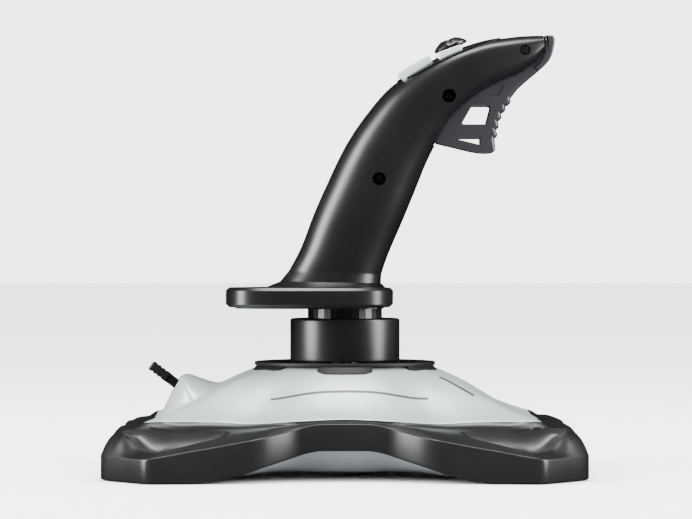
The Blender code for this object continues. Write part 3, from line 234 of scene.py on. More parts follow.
def moulded(name, colour, rough, grain=900.0, depth=0.00003, tint=0.06, metallic=0.0, specular=0.5):
    """Moulded plastic: a fine grain in relief, with a little unevenness in gloss and in colour."""
    made, nodes, links = node_tree(name)
    shader = nodes["Principled BSDF"]
    cloud = noise(nodes, links, 38.0, 4.0)
    darker = tuple(c * (1.0 - tint) for c in colour)
    lighter = tuple(min(c * (1.0 + tint), 1.0) for c in colour)
    paint = ramp(nodes, links, cloud.outputs["Fac"], darker, lighter)
    links.new(paint.outputs["Color"], shader.inputs["Base Color"])
    gloss = ramp(nodes, links, cloud.outputs["Fac"], rough * 0.93, min(rough * 1.07, 1.0), 0.3, 0.7)
    links.new(gloss.outputs["Color"], shader.inputs["Roughness"])
    shader.inputs["Metallic"].default_value = metallic
    shader.inputs["Specular IOR Level"].default_value = specular
    if depth:
        fine = noise(nodes, links, grain, 3.0, 0.6)
        bump = nodes.new("ShaderNodeBump")
        bump.inputs["Strength"].default_value = 0.35
        bump.inputs["Distance"].default_value = depth
        links.new(fine.outputs["Fac"], bump.inputs["Height"])
        links.new(bump.outputs["Normal"], shader.inputs["Normal"])
    return made


def turned_metal(name, colour, rough):
    """Bright metal with fine drawn marks."""
    made, nodes, links = node_tree(name)
    shader = nodes["Principled BSDF"]
    shader.inputs["Metallic"].default_value = 1.0
    shader.inputs["Base Color"].default_value = (*colour, 1.0)
    marks = noise(nodes, links, 1400.0, 2.0)
    gloss = ramp(nodes, links, marks.outputs["Fac"], rough * 0.7, rough * 1.3)
    links.new(gloss.outputs["Color"], shader.inputs["Roughness"])
    return made


def circuit(name):
    """Green solder mask with copper showing through in spots."""
    made, nodes, links = node_tree(name)
    shader = nodes["Principled BSDF"]
    spots = noise(nodes, links, 420.0, 1.0)
    paint = ramp(nodes, links, spots.outputs["Fac"], (0.012, 0.10, 0.045), (0.03, 0.20, 0.09), 0.55, 0.6)
    links.new(paint.outputs["Color"], shader.inputs["Base Color"])
    shader.inputs["Roughness"].default_value = 0.35
    return made


BLACK = moulded("grip_black", (0.0036, 0.0036, 0.0046), 0.34, grain=1500.0, depth=0.00002)
FRAME_BLACK = moulded("frame_black", (0.0055, 0.0055, 0.0065), 0.36, grain=1500.0, depth=0.00002)
# The trigger's black is lighter and bluer than the grip's: painted sheen, standing in for a soft light's
# reflection on its flat sides.
TRIGGER_BLACK_WITH_SHEEN = moulded("trigger_black_painted_sheen", (0.0135, 0.0140, 0.0175), 0.34, grain=1500.0, depth=0.00001)
DARK_GLOSS = moulded("dark_gloss", (0.006, 0.006, 0.007), 0.25, depth=0.0)
RING_BLACK = moulded("ring_black", (0.0055, 0.0055, 0.0065), 0.5, depth=0.0, specular=0.2)
SILVER = moulded(
    "silver_paint", (0.33, 0.385, 0.375), 0.38, grain=2600.0, depth=0.00002, tint=0.02, metallic=0.5
)
BUTTON_SILVER = moulded(
    "button_silver", (0.46, 0.52, 0.52), 0.34, grain=2600.0, depth=0.00001, tint=0.02, metallic=0.4
)
GREY = moulded("cover_grey", (0.130, 0.145, 0.152), 0.42, grain=1200.0)
RUBBER = moulded("rubber", (0.02, 0.02, 0.02), 0.8, grain=1100.0, depth=0.00006)
NYLON = moulded("nylon", (0.70, 0.69, 0.63), 0.45, tint=0.03)
INK = moulded("dark_print", (0.03, 0.03, 0.035), 0.4, depth=0.0)
STEEL = turned_metal("steel", (0.60, 0.60, 0.61), 0.28)
CIRCUIT = circuit("circuit_board")


# ---------------------------------------------------------------- mesh helpers
def settle(made, paint, body, nodes=(), angle=35.0):
    """Shades the piece, paints it, hangs it on its body and hides the CAD nodes that it stands for."""
    made.data.shade_smooth()
    made.data.set_sharp_from_angle(angle=math.radians(angle))
    made.data.materials.clear()
    made.data.materials.append(paint)
    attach(made, body)
    if nodes:
        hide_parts(*nodes)
    return made


def raw(name, points, faces):
    """A mesh object from points in millimetres."""
    mesh = bpy.data.meshes.new(name)
    mesh.from_pydata([Vector(p) * MM for p in points], [], faces)
    graph = bmesh.new()
    graph.from_mesh(mesh)
    bmesh.ops.remove_doubles(graph, verts=graph.verts, dist=2e-6)
    bmesh.ops.dissolve_degenerate(graph, edges=graph.edges, dist=1e-7)
    bmesh.ops.recalc_face_normals(graph, faces=graph.faces)
    graph.to_mesh(mesh)
    graph.free()
    made = bpy.data.objects.new(name, mesh)
    bpy.context.scene.collection.objects.link(made)
    return made


def loft(name, rings, closed_path=False):
    """Quads between rings of equally many points, with end caps on an open path."""
    size, count = len(rings[0]), len(rings)
    faces = []
    for k in range(count if closed_path else count - 1):
        here, there = k * size, ((k + 1) % count) * size
        faces += [(here + i, here + (i + 1) % size, there + (i + 1) % size, there + i) for i in range(size)]
    if not closed_path:
        faces.append(tuple(range(size - 1, -1, -1)))
        faces.append(tuple(range((count - 1) * size, count * size)))
    return raw(name, [p for ring in rings for p in ring], faces)


def lathe(name, profile, count=ROUND, centre=(0.0, 0.0)):
    rings = [[(centre[0] + r * c, centre[1] + r * s, z) for r, z in profile] for c, s in circle(1.0, count)]
    return loft(name, rings, closed_path=True)


def basis(direction):
    z = Vector(direction).normalized()
    y = Vector((0, 1, 0)) if abs(z.y) < 0.9 else Vector((1, 0, 0))
    x = y.cross(z).normalized()
    return Matrix((x, z.cross(x), z)).transposed()


def rod(name, start, end, radius, count=32):
    start, end = Vector(start), Vector(end)
    turn, length = basis(end - start), (end - start).length
    outline = circle(radius, count)
    return loft(name, [[start + turn @ Vector((x, y, z)) for x, y in outline] for z in (0.0, length)])


def prism(name, outline, y0, y1):
    return loft(name, [[(x, y, z) for x, z in outline] for y in (y0, y1)])


def pad(name, half_x, half_y, corner, profile, place, turn, steps=6):
    """A rounded-rectangle button: profile gives (height, inset) from its bottom to its top."""
    rings = []
    for rise, inset in profile:
        hx, hy = half_x - inset, half_y - inset
        c = max(corner - inset * 0.6, 0.25)
        outline = []
        for sx, sy, start in ((1, 1, 0), (-1, 1, 90), (-1, -1, 180), (1, -1, 270)):
            for k in range(steps + 1):
                a = math.radians(start + 90.0 * k / steps)
                outline.append((sx * (hx - c) + c * math.cos(a), sy * (hy - c) + c * math.sin(a)))
        rings.append([place + turn @ Vector((x, y, rise)) for x, y in outline])
    return loft(name, rings)


def edge_profile(bottom, top, radius, dome=0.0, steps=5):
    """Heights and insets of a straight-sided button with a rounded upper edge and a slight dome."""
    rows = [(bottom, 0.0)]
    for k in range(steps + 1):
        a = math.radians(90.0 * k / steps)
        rows.append((top - dome - radius + radius * math.sin(a), radius * (1.0 - math.cos(a))))
    if dome:
        rows.append((top - dome * 0.4, radius + 1.2))
        rows.append((top, radius + 2.4))
    return rows


def boolean(target, *others, operation="DIFFERENCE"):
    """Cuts or joins the others at once, and removes them."""
    for other in others:
        modifier = target.modifiers.new("boolean", "BOOLEAN")
        modifier.operation, modifier.solver, modifier.object = operation, "EXACT", other
    bpy.context.view_layer.update()
    evaluated = target.evaluated_get(bpy.context.evaluated_depsgraph_get())
    mesh = bpy.data.meshes.new_from_object(evaluated)
    target.modifiers.clear()
    target.data = mesh
    for other in others:
        bpy.data.objects.remove(other)
    return target


# ---------------------------------------------------------------- shape of the base
def side_shares(phi):
    """Cosine and sine of the direction, as sizes, and how far it has left each side's middle, 0 to 1."""
    c, s = max(abs(math.cos(phi)), 1e-6), max(abs(math.sin(phi)), 1e-6)
    return c, s, smooth((s / c) / 0.6), smooth((c / s - 0.15) / 0.68)


def wall_radius(phi):
    c, s, along_x, _ = side_shares(phi)
    lobe = smooth((c / s - 0.24) / 0.22)
    splay = LOBE_SPLAY * max(min(c / s, 0.95) - 0.44, 0.0)
    front = (WALL_X_MID + (WALL_X_END - WALL_X_MID) * along_x) / c
    side = (WALL_Y_MID + (WALL_Y_SHOULDER - WALL_Y_MID) * lobe + splay) / s
    facet = FACET_REACH / (FACET_NORMAL.x * c + FACET_NORMAL.y * s)
    return soft_min((front, side, facet), CORNER_SOFTNESS)


def side_arch(c, s):
    return ARCH_Y * (1.0 - smooth((c / s - 0.12) / 0.58))


def wall_foot(phi):
    """Height of the frame's lower edge: on the desk at the corners, arched between them."""
    c, s, _, _ = side_shares(phi)
    return WALL_FOOT + ARCH_X * (1.0 - smooth((s / c) / 0.52)) + side_arch(c, s)


def wall_top(phi):
    """Height of the frame's upper edge."""
    c, s, _, _ = side_shares(phi)
    ends = END_RISE * smooth((0.58 - s / c) / 0.35)
    sides = SIDE_RISE * smooth((0.95 - c / s) / 0.33) - SIDE_SAG * (1.0 - smooth((c / s - 0.3) / 0.3))
    return WALL_TOP + ends + sides + side_arch(c, s)


def rim_radius(phi):
    """Where the silver shell ends and the black frame begins."""
    c, s, along_x, along_y = side_shares(phi)
    middle, end = SHELL_FRONT if math.cos(phi) > 0 else SHELL_BACK
    front = (middle + (end - middle) * along_x) / c
    side = (SHELL_Y_MID + (SHELL_Y_END - SHELL_Y_MID) * along_y) / s
    return soft_min((front, side), SHELL_SOFTNESS)


def rim_height(phi):
    c, s, _, _ = side_shares(phi)
    lift = (RIM_Z_SIDE - RIM_Z) * (1.0 - smooth((c / s) / 0.5))
    dip = (RIM_Z_DIP - RIM_Z) * math.exp(-(((c / s - 0.65) / 0.2) ** 2))
    end = (RIM_Z_FRONT if math.cos(phi) > 0 else RIM_Z_BACK) - RIM_Z
    return RIM_Z + lift + dip + end * smooth((abs(math.cos(phi)) - 0.78) / 0.17)


def dish_reach(c, s):
    """Distance from a dish's middle to its outline, in the direction whose cosine and sine are given."""
    return soft_min([offset / (a * c + b * s) for a, b, offset in DISH_SIDES if a * c + b * s > 1e-3], 1.5)


def dish(x, y):
    """Depth of the finger dish in each corner of the frame: a bowl with a rounded five-sided outline."""
    u, v = abs(x) - DISH_X, abs(y) - DISH_Y
    distance = math.hypot(u, v)
    if distance < 1e-6:
        return DISH_DEPTH
    share = distance / dish_reach(u / distance, v / distance)
    return DISH_DEPTH * (1.0 - share**DISH_CURVE) if share < 1.0 else 0.0


def frame_top(phi, t, dished=True):
    """Point (radius, z) of the frame's upper surface, from the shell's rim (t=0) to the wall (t=1).

    Towards the lobes' ends it steps down from the rim, runs nearly level and falls late, for a full edge.
    """
    inner, outer = rim_radius(phi) + RIM_GAP, wall_radius(phi)
    z0, z1 = rim_height(phi), wall_top(phi)
    c, s, _, _ = side_shares(phi)
    bend = 2.4 - 1.35 * smooth((s / c - 0.2) / 0.5)
    broad = smooth((s / c - 0.7) / 0.22)
    end = smooth((outer - inner - 12.0) / 10.0) * (1.0 - broad)
    step = 1.2 * smooth(t / 0.06) * (1.0 - smooth((t - 0.1) / 0.5)) * broad
    fall = mix(t**bend, 0.2 * smooth(t / 0.3) + 0.8 * t**5, end)
    crown = 0.8 * math.sin(math.pi * t) * min(1.0, (outer - inner) / 20.0)
    r = inner + (outer - inner) * t
    z = z0 - step + (z1 - (z0 - step)) * fall + crown
    return r, z - (dish(r * math.cos(phi), r * math.sin(phi)) if dished else 0.0)


def shell_top(x, y):
    """Upper surface of the silver shell: a falling dome, with the throttle's drum raised at the back."""
    phi = math.atan2(y, x)
    r, rim = math.hypot(x, y), rim_radius(phi)
    t = (r - SHELL_OPENING) / (rim - SHELL_OPENING)
    fall = t - 0.04 * math.sin(2.0 * math.pi * t)
    dome = SHELL_TOP_Z + (rim_height(phi) - SHELL_TOP_Z) * fall
    if x > -40.0:
        return dome
    bow = (y / DRUM_HALF) ** 4
    side = DRUM_FACE[1] + DRUM_SLOPE * (x - DRUM_FACE[0] - bow)
    cap = CREST_Z - 0.35 * max(x - CREST_X, 0.0) - 0.8 * bow
    drum = soft_min((side, cap), 1.6)
    return soft_max((dome, drum), 1.3)


def polar(phi, r, z):
    return (r * math.cos(phi), r * math.sin(phi), z)


def polar_piece(name, section, count=2 * ROUND):
    """A closed ring whose (radius, z) section is worked out for each direction."""
    rings = []
    for k in range(count):
        phi = 2.0 * math.pi * k / count
        rings.append([polar(phi, r, z) for r, z in section(phi)])
    return loft(name, rings, closed_path=True)


# ---------------------------------------------------------------- the base's pieces
def frame_section(phi, steps=30, edge=0.8):
    """Ledge under the shell, lobed top, wall with a narrow rounded brow, and rounded foot."""
    rim, z_rim = rim_radius(phi), rim_height(phi)
    outer, foot, brow_z = wall_radius(phi), wall_foot(phi), wall_top(phi)
    ledge = z_rim - SHELL_WALL - 0.6
    top = [frame_top(phi, k / steps, False) for k in range(steps)]
    top = [p for p in top if p[0] < outer - edge]
    brow = rounded([top[-1], (outer, brow_z), (outer, brow_z - 2.0 * edge)], edge * 1.6, 5, closed=False)[1:]
    under = [frame_top(phi, k / steps) for k in range(2, steps)]
    under = [(min(r, outer - FRAME_WALL), z - FRAME_WALL) for r, z in reversed(under)]
    while len(top) < steps:
        top.insert(1, tuple(Vector(top[0]).lerp(Vector(top[1]), 0.5)))
    section = [(rim - LEDGE, ledge), (rim + RIM_GAP, ledge), (rim + RIM_GAP, z_rim - 0.5), *top, *brow]
    section += [(outer, foot + 0.6), (outer - 0.2, foot + 0.15), (outer - 0.6, foot)]
    section += [(outer - FRAME_WALL, foot), (outer - FRAME_WALL, brow_z - FRAME_WALL - 1.0)]
    return section + under + [(rim - LEDGE, ledge - FRAME_WALL)]


def dish_bowl(sx, sy, around=72, steps=12):
    """The solid scooped out of one corner of the frame, with a crisp five-sided rim."""
    rings = []
    shares = [0.04 + 0.96 * k / steps for k in range(steps + 1)] + [1.0]
    for i, share in enumerate(shares):
        lift = 9.0 if i == len(shares) - 1 else 0.0
        ring = []
        for c, s in circle(1.0, around):
            reach = dish_reach(c, s) * share
            x, y = DISH_X + reach * c, DISH_Y + reach * s
            phi, r = math.atan2(sy * y, sx * x), math.hypot(x, y)
            inner, outer = rim_radius(phi) + RIM_GAP, wall_radius(phi)
            t = min(max((r - inner) / (outer - inner), 0.0), 1.0)
            z = frame_top(phi, t, False)[1] - DISH_DEPTH * (1.0 - share**DISH_CURVE)
            ring.append((sx * x, sy * y, z + lift))
        rings.append(ring)
    return loft("dish_bowl", rings)


def make_frame():
    body = polar_piece("base_frame_fine", frame_section)
    boolean(body, *(dish_bowl(sx, sy) for sx in (-1, 1) for sy in (-1, 1)))
    settle(body, FRAME_BLACK, "base", ["base_frame"])


def shell_section(phi, steps=64, edge=0.7):
    """Top, narrow rounded edge and underside of the silver shell."""
    rim = rim_radius(phi)
    radii = [mix(SHELL_OPENING, rim - edge, k / steps) for k in range(steps + 1)]
    top = [(r, shell_top(r * math.cos(phi), r * math.sin(phi))) for r in radii]
    z = shell_top(rim * math.cos(phi), rim * math.sin(phi))
    brow = [(rim - 0.3 * edge, z - 0.08), (rim, z - 0.35), (rim, z - SHELL_WALL)]
    under = [(r, h - SHELL_WALL) for r, h in reversed(top)]
    return top + brow + under[::4] + [under[-1]]


def throttle_point(u, v, w):
    """A point counted from the throttle's pin: along the lever, across it and along the pin."""
    return THROTTLE_PIVOT + THROTTLE_ARM * u + Vector((0, v, 0)) + THROTTLE_AXIS * w


def make_shell():
    shell = polar_piece("base_top_shell_fine", shell_section)
    half = SLOT_HALF_LENGTH
    outline = rounded([(14.0, -half), (36.0, -half), (36.0, half), (14.0, half)], 1.0)
    slot = [[throttle_point(u, v, w) for u, v in outline] for w in (-SLOT_HALF_THICK, SLOT_HALF_THICK)]
    cutters = [loft("slot", slot)]
    turn = basis(BUTTON_AXIS)
    for _, seat in button_seats():
        size = BUTTON_LONG / 2.0 + BUTTON_GAP, BUTTON_SHORT / 2.0 + BUTTON_GAP
        cutters.append(pad("hole", *size, 1.7, ((-8.0, 0.0), (8.0, 0.0)), seat, turn))
    boolean(shell, *cutters)
    settle(shell, SILVER, "base", ["base_top_shell"])


def button_seats():
    seats = []
    for row, x in enumerate(BUTTON_ROWS):
        for column, y in enumerate(BUTTON_COLUMNS):
            number = 7 + row * len(BUTTON_COLUMNS) + column
            seats.append((f"base_button_{number}", Vector((x, y, shell_top(x, y)))))
    return seats


def make_base_buttons():
    turn = basis(BUTTON_AXIS)
    for name, seat in button_seats():
        profile = edge_profile(-4.5, 1.8, 0.6, dome=0.25)
        made = pad(f"{name}_cap", BUTTON_LONG / 2.0, BUTTON_SHORT / 2.0, 1.6, profile, seat, turn)
        settle(made, BLACK, name, [name])


def cover_edge(phi):
    return wall_radius(phi) - FRAME_WALL - 0.3


def cover_under(phi, r):
    z_edge = max(wall_foot(phi) + 1.1, 1.6)
    return PAN_Z + (z_edge - PAN_Z) * smooth((r - PAN_RADIUS) / (cover_edge(phi) - PAN_RADIUS))


def cover_section(phi, steps=36):
    edge = cover_edge(phi)
    radii = [3.0] + [mix(22.0, edge, k / steps) for k in range(steps + 1)]
    lower = [(r, cover_under(phi, r)) for r in radii]
    return lower + [(r, z + COVER_WALL) for r, z in reversed(lower)]


def make_cover():
    cover = polar_piece("base_bottom_cover_fine", cover_section, ROUND)
    holes = [rod("hole", (x, y, -1), (x, y, 20), BASE_SCREW_HOLE) for x, y in four_corners(*BASE_SCREW)]
    holes.append(rod("hole", (*GLAND, -1), (*GLAND, 20), GLAND_HOLE))
    settle(boolean(cover, *holes), GREY, "base", ["base_bottom_cover"])


def four_corners(x, y):
    return [(sx * x, sy * y) for sx in (-1, 1) for sy in (-1, 1)]


def make_feet():
    profile = [(0.0, 0.0), (FOOT_RADIUS - 0.5, 0.0), (FOOT_RADIUS - 0.15, 0.15), (FOOT_RADIUS, 0.5)]
    profile += [(FOOT_RADIUS, FOOT_HEIGHT), (0.0, FOOT_HEIGHT)]
    for number, place in enumerate(four_corners(FOOT_X, FOOT_Y), 1):
        made = lathe(f"rubber_foot_{number}_fine", profile, 64, place)
        settle(made, RUBBER, "base", [f"rubber_foot_{number}"])


def make_bezel():
    """The ring round the stick, its six tabs and the groove between them and the ring."""
    profile = rounded([
        (OPENING_RADIUS, 48.9), (36.2, 48.9), (36.2, 43.5), (38.5, 43.5), (38.5, 48.9), (BEZEL_RADIUS, 48.9),
        (BEZEL_RADIUS, BEZEL_TOP), (37.4, BEZEL_TOP), (37.1, BEZEL_TOP - 0.5), (36.7, BEZEL_TOP - 0.5),
        (36.4, BEZEL_TOP - 0.1), (OPENING_RADIUS, BEZEL_TOP - 0.5),
    ], 0.5, 3)
    bezel = lathe("opening_bezel_fine", profile)
    tabs = []
    for k in range(LOBES):
        middle = math.radians(-90.0 + 360.0 * k / LOBES)
        rings = []
        steps = 12
        for i in range(steps + 1):
            share = 2.0 * i / steps - 1.0
            phi = middle + LOBE_HALF_ANGLE * share
            reach = LOBE_REACH * (1.0 - 0.65 * smooth((abs(share) - 0.72) / 0.28))
            inner, outer = BEZEL_RADIUS - 0.8, BEZEL_RADIUS + reach
            z = shell_top(outer * math.cos(phi), outer * math.sin(phi)) + 0.3
            ring = [(inner, 49.0), (outer, z - 0.2), (outer, z + 0.25), (outer - 0.3, z + 0.5), (inner, 49.8)]
            rings.append([polar(phi, *p) for p in ring])
        tabs.append(loft("tab", rings))
    boolean(bezel, *tabs, operation="UNION")
    settle(bezel, RING_BLACK, "base", ["opening_bezel"])


def make_marks():
    """A plain dark stripe and a plain slanted bar printed on the silver shell."""
    stripe = [(x, -53.3 + 0.0034 * (x + 1.0) ** 2) for x in range(-33, 38, 2)]
    print_line("shell_stripe", [Vector(p) for p in stripe], 0.55)
    bar = [Vector((42.5, -32.0)).lerp(Vector((57.6, -44.0)), k / 12.0) for k in range(13)]
    print_line("shell_bar", bar, 0.75)


def print_line(name, line, half_width, lift=0.03, thick=0.06):
    """A thin band lying on the shell along a line seen from above."""
    rings = []
    for k, p in enumerate(line):
        before, after = line[max(k - 1, 0)], line[min(k + 1, len(line) - 1)]
        along = (after - before).normalized()
        across = Vector((-along.y, along.x)) * half_width
        ring = []
        corners = ((-1, 0), (1, 0), (1, 1), (-1, 1))
        for side, upper in corners:
            q = p + across * side
            ring.append((q.x, q.y, shell_top(q.x, q.y) + lift + thick * upper))
        rings.append(ring)
    settle(loft(name, rings), INK, "base")


# ---------------------------------------------------------------- collar, neck and ball cover
def make_stick():
    r, bore, mouth = COLLAR_RADIUS, COLLAR_RADIUS - COLLAR_WALL, NECK_RADIUS + 0.5
    outline = [(bore, COLLAR_Z0), (r, COLLAR_Z0), (r, COLLAR_Z1), (mouth, COLLAR_Z1)]
    outline += [(mouth, COLLAR_Z1 - 2.0), (bore, COLLAR_Z1 - 2.0), (bore, 60.4), (6.8, 60.4), (6.8, 56.6)]
    outline += [(9.5, 56.6), (9.5, 57.6), (bore, 57.6)]
    collar = lathe("twist_collar_fine", rounded(outline, 1.3, 5))
    settle(collar, BLACK, "stick", ["twist_collar"])

    top, inner = COLLAR_Z0 - 0.3, BALL_RADIUS - BALL_WALL
    first = math.acos((top - PIVOT_Z) / BALL_RADIUS)
    second = math.acos((top - 1.5 - PIVOT_Z) / inner)
    steps = 20
    outside = [first + (BALL_END - first) * k / steps for k in range(steps + 1)]
    inside = [BALL_END + (second - BALL_END) * k / steps for k in range(steps + 1)]
    profile = [(22.9, top)]
    profile += [(BALL_RADIUS * math.sin(a), PIVOT_Z + BALL_RADIUS * math.cos(a)) for a in outside]
    profile += [(inner * math.sin(a), PIVOT_Z + inner * math.cos(a)) for a in inside]
    profile.append((22.9, top - 1.5))
    settle(lathe("ball_cover_fine", profile), DARK_GLOSS, "stick", ["ball_cover"])


# ---------------------------------------------------------------- shape of the grip
def grip_station(t):
    """The grip's station at the place t, counted in stations."""
    if t < FIRST_SPLINE_STATION:
        k = int(t)
        return tuple(mix(p, q, t - k) for p, q in zip(GRIP_STATIONS[k], GRIP_STATIONS[k + 1]))
    return spline(GRIP_STATIONS[FIRST_SPLINE_STATION:], t - FIRST_SPLINE_STATION)


def grip_point(t, angle, inset=0.0):
    """Point on the grip: angle 0 is the palm side, pi the finger side, negative is the user's right."""
    bx, bz, fx, fz, right, left, n, drop = grip_station(t)
    back, front = Vector((bx, 0, bz)), Vector((fx, 0, fz))
    half = (front - back).length / 2.0
    along = (front - back).normalized()
    c, s = math.cos(angle), math.sin(angle)
    reach = -math.copysign(abs(c) ** (2.0 / n), c)
    width = math.copysign(abs(s) ** (2.0 / n), s)
    side = (left if s > 0 else right) - inset
    point = (back + front) / 2.0 + along * (half - inset) * reach + Vector((0, width * side, 0))
    if inset > 0:
        point.z += drop
    return point


def grip_places(fine=10):
    last = len(GRIP_STATIONS) - 1
    low = [k + i / 4.0 for k in range(FIRST_SPLINE_STATION) for i in range(4)]
    high = [FIRST_SPLINE_STATION + k / fine for k in range((last - FIRST_SPLINE_STATION) * fine + 1)]
    return low + high


def make_grip_half(name, side, node):
    around = 40
    rings = []
    for t in grip_places():
        outer = [grip_point(t, side * math.pi * k / around) for k in range(around + 1)]
        inner = [grip_point(t, side * math.pi * k / around, GRIP_WALL) for k in range(around, -1, -2)]
        ring = outer + inner
        for p in ring:
            p.y = side * max(abs(p.y), SEAM)
        rings.append(ring)
    half = loft(name, rings)
    cutters = [prism("slot", TRIGGER_SLOT, -TRIGGER_SLOT_HALF, TRIGGER_SLOT_HALF)]
    cutters.append(panel_solid("panel_hole", -PANEL_HOLE_DEPTH, PANEL_HOLE_HEIGHT, 0.12))
    if side < 0:
        turns = [2.0 * math.pi * k / 64 for k in range(64)]
        core = loft("core", [[grip_point(t, a, 1.0) for a in turns] for t in grip_places(4)])
        bosses = []
        for x, z, r in SCREW_HOLES:
            boss = rod("boss", (x, -7.6, z), (x, -30.0, z), r + BOSS_WALL, 48)
            modifier = boss.modifiers.new("trim", "BOOLEAN")
            modifier.operation, modifier.object = "INTERSECT", core
            bpy.context.view_layer.update()
            mesh = bpy.data.meshes.new_from_object(boss.evaluated_get(bpy.context.evaluated_depsgraph_get()))
            boss.modifiers.clear()
            boss.data = mesh
            bosses.append(boss)
        boolean(half, *bosses, operation="UNION")
        bpy.data.objects.remove(core)
        for x, z, r in SCREW_HOLES:
            cutters.append(rod("seat", (x, -SEAT_DEPTH, z), (x, -40.0, z), r, 64))
            cutters.append(rod("clearance", (x, -1.0, z), (x, -20.0, z), SCREW_CLEARANCE, 32))
    else:
        x, z = SIDE_BUTTON
        turn = Matrix.Rotation(math.radians(-90.0), 3, "X")
        size = SIDE_BUTTON_LONG / 2.0 + BUTTON_GAP, SIDE_BUTTON_SHORT / 2.0 + BUTTON_GAP
        cutters.append(pad("side_hole", *size, 2.0, ((-10.0, 0.0), (10.0, 0.0)), Vector((x, 20.0, z)), turn))
    boolean(half, *cutters)
    settle(half, BLACK, "grip", [node])


def panel_solid(name, depth, height, margin, fine=36):
    rings = []
    reach = margin / 8.0
    first, last = PANEL_FROM - reach, PANEL_TO + reach
    around = 32
    for k in range(fine + 1):
        t = mix(first, last, k / fine)
        share = k / fine
        low, middle, high = PANEL_HALF_ANGLES
        spread = low + (middle - low) * smooth(share / 0.45) + (high - middle) * smooth((share - 0.6) / 0.4)
        spread *= math.sqrt(max(1.0 - abs(2.0 * share - 1.0) ** 8, 0.12))
        spread += margin / 16.0
        angles = [spread * (2.0 * i / around - 1.0) for i in range(around + 1)]
        upper = [grip_point(t, a, -height) for a in angles]
        lower = [grip_point(t, a, -depth) for a in reversed(angles)]
        rings.append(upper + lower)
    return loft(name, rings)


def head_frame(x, z, tilt):
    return Vector((x, 0.0, z)), Matrix.Rotation(-tilt, 3, "Y")


def make_panel():
    panel = panel_solid("thumb_panel_fine", -PANEL_THICK, PANEL_PROUD, 0.0)
    cutters = []
    for spec in (LOWER_BUTTON, UPPER_BUTTON):
        x, z, tilt, half, y0, y1, _ = spec
        origin, turn = head_frame(x, z, tilt)
        for side in (-1, 1):
            centre = origin + Vector((0, side * (y0 + y1) / 2.0, 0))
            profile = ((-8.0, 0.0), (8.0, 0.0))
            size = half + BUTTON_GAP, (y1 - y0) / 2.0 + BUTTON_GAP
            cutters.append(pad("hole", *size, 1.5, profile, centre, turn))
    x, z, tilt, _, _ = HAT
    origin, turn = head_frame(x, z, tilt)
    out = turn @ Vector((0, 0, 1))
    cutters.append(rod("hole", origin - out * 8, origin + out * 8, HAT_HOLE, 48))
    boolean(panel, *cutters)
    settle(panel, BLACK, "grip", ["thumb_panel"])


def make_thumb_buttons():
    number = 3
    for spec in (LOWER_BUTTON, UPPER_BUTTON):
        x, z, tilt, half, y0, y1, height = spec
        origin, turn = head_frame(x, z, tilt)
        for side in (-1, 1):
            centre = origin + Vector((0, side * (y0 + y1) / 2.0, 0))
            name = f"thumb_button_{number}"
            profile = edge_profile(-6.0, height, 0.7, dome=0.2)
            made = pad(f"{name}_cap", half, (y1 - y0) / 2.0, 1.4, profile, centre, turn)
            settle(made, BUTTON_SILVER, name, [name])
            number += 1


def make_hat():
    """A flat-topped cone with a shallow cross of grooves on top."""
    x, z, tilt, radius, height = HAT
    origin, turn = head_frame(x, z, tilt)
    rows = [(-3.4, 2.0), (2.2, 2.0), (2.2, radius - 0.9), (2.3, radius - 0.4), (2.6, radius), (3.5, radius)]
    rows += [(3.9, radius - 0.3), (4.6, 6.6), (5.4, 5.5), (height - 0.3, 4.4), (height - 0.05, 3.9)]
    rows += [(height, 3.4), (height - 0.15, 2.4), (height - 0.3, 1.2), (height - 0.35, 0.3)]
    count = 96
    rings = []
    for rise, r in rows:
        ring = []
        for k in range(count):
            a = 2.0 * math.pi * k / count
            across = 1.0 - 0.08 * smooth((r - 2.0) / 3.0)
            groove = 0.35 * math.exp(-((math.sin(2.0 * a) / 0.28) ** 2)) * smooth((rise - 2.6) / 1.2)
            ring.append(origin + turn @ Vector((r * math.cos(a), r * across * math.sin(a), rise - groove)))
        rings.append(ring)
    settle(loft("hat_cap_fine", rings), BLACK, "hat_cap", ["hat_cap"])


def make_side_button():
    x, z = SIDE_BUTTON
    turn = Matrix.Rotation(math.radians(-90.0), 3, "X")
    profile = edge_profile(13.2, 19.8, 0.8, dome=0.3)
    size = SIDE_BUTTON_LONG / 2.0, SIDE_BUTTON_SHORT / 2.0
    made = pad("side_button_cap", *size, 1.8, profile, Vector((x, 0, z)), turn)
    settle(made, BLACK, "side_button", ["side_button"])


# ---------------------------------------------------------------- trigger
def trigger_teeth():
    """The finger face: rounded ribs, a little steeper on their upper side, on a slightly hollow line."""
    top, foot = Vector(TRIGGER_FRONT[-1]), Vector(TRIGGER_FOOT[0])
    points = []
    count = 14 * TRIGGER_TEETH
    for k in range(1, count):
        u = k / count
        place = (TRIGGER_TEETH * u) % 1.0
        wave = max(math.sin(math.pi * place**1.25), 0.0) ** 0.7
        points.append(tuple(top.lerp(foot, u) - TRIGGER_FACING * (1.7 * math.sin(math.pi * u) - 1.2 * wave)))
    return points


def inward(outline):
    """For each point of a closed outline, the direction that leads into it."""
    count = len(outline)
    points = [Vector(p) for p in outline]
    area = sum(points[k].cross(points[(k + 1) % count]) for k in range(count))
    turn = 1.0 if area > 0 else -1.0
    facing = []
    for k in range(count):
        along = (points[(k + 1) % count] - points[k - 1]).normalized()
        facing.append(Vector((-along.y, along.x)) * turn)
    return facing


def edged_plate(name, outline, facing, radii, half, steps=5):
    """A flat piece across the grip, each point of its outline with an edge radius of its own."""
    rings = []
    for side in (-1, 1):
        for k in range(steps + 1):
            a = math.radians(90.0) * (k / steps if side < 0 else 1.0 - k / steps)
            ring = []
            for p, n, r in zip(outline, facing, radii):
                q = Vector(p) + n * r * (1.0 - math.sin(a))
                ring.append((q.x, side * (half - r * (1.0 - math.cos(a))), q.y))
            rings.append(ring)
    return loft(name, rings)


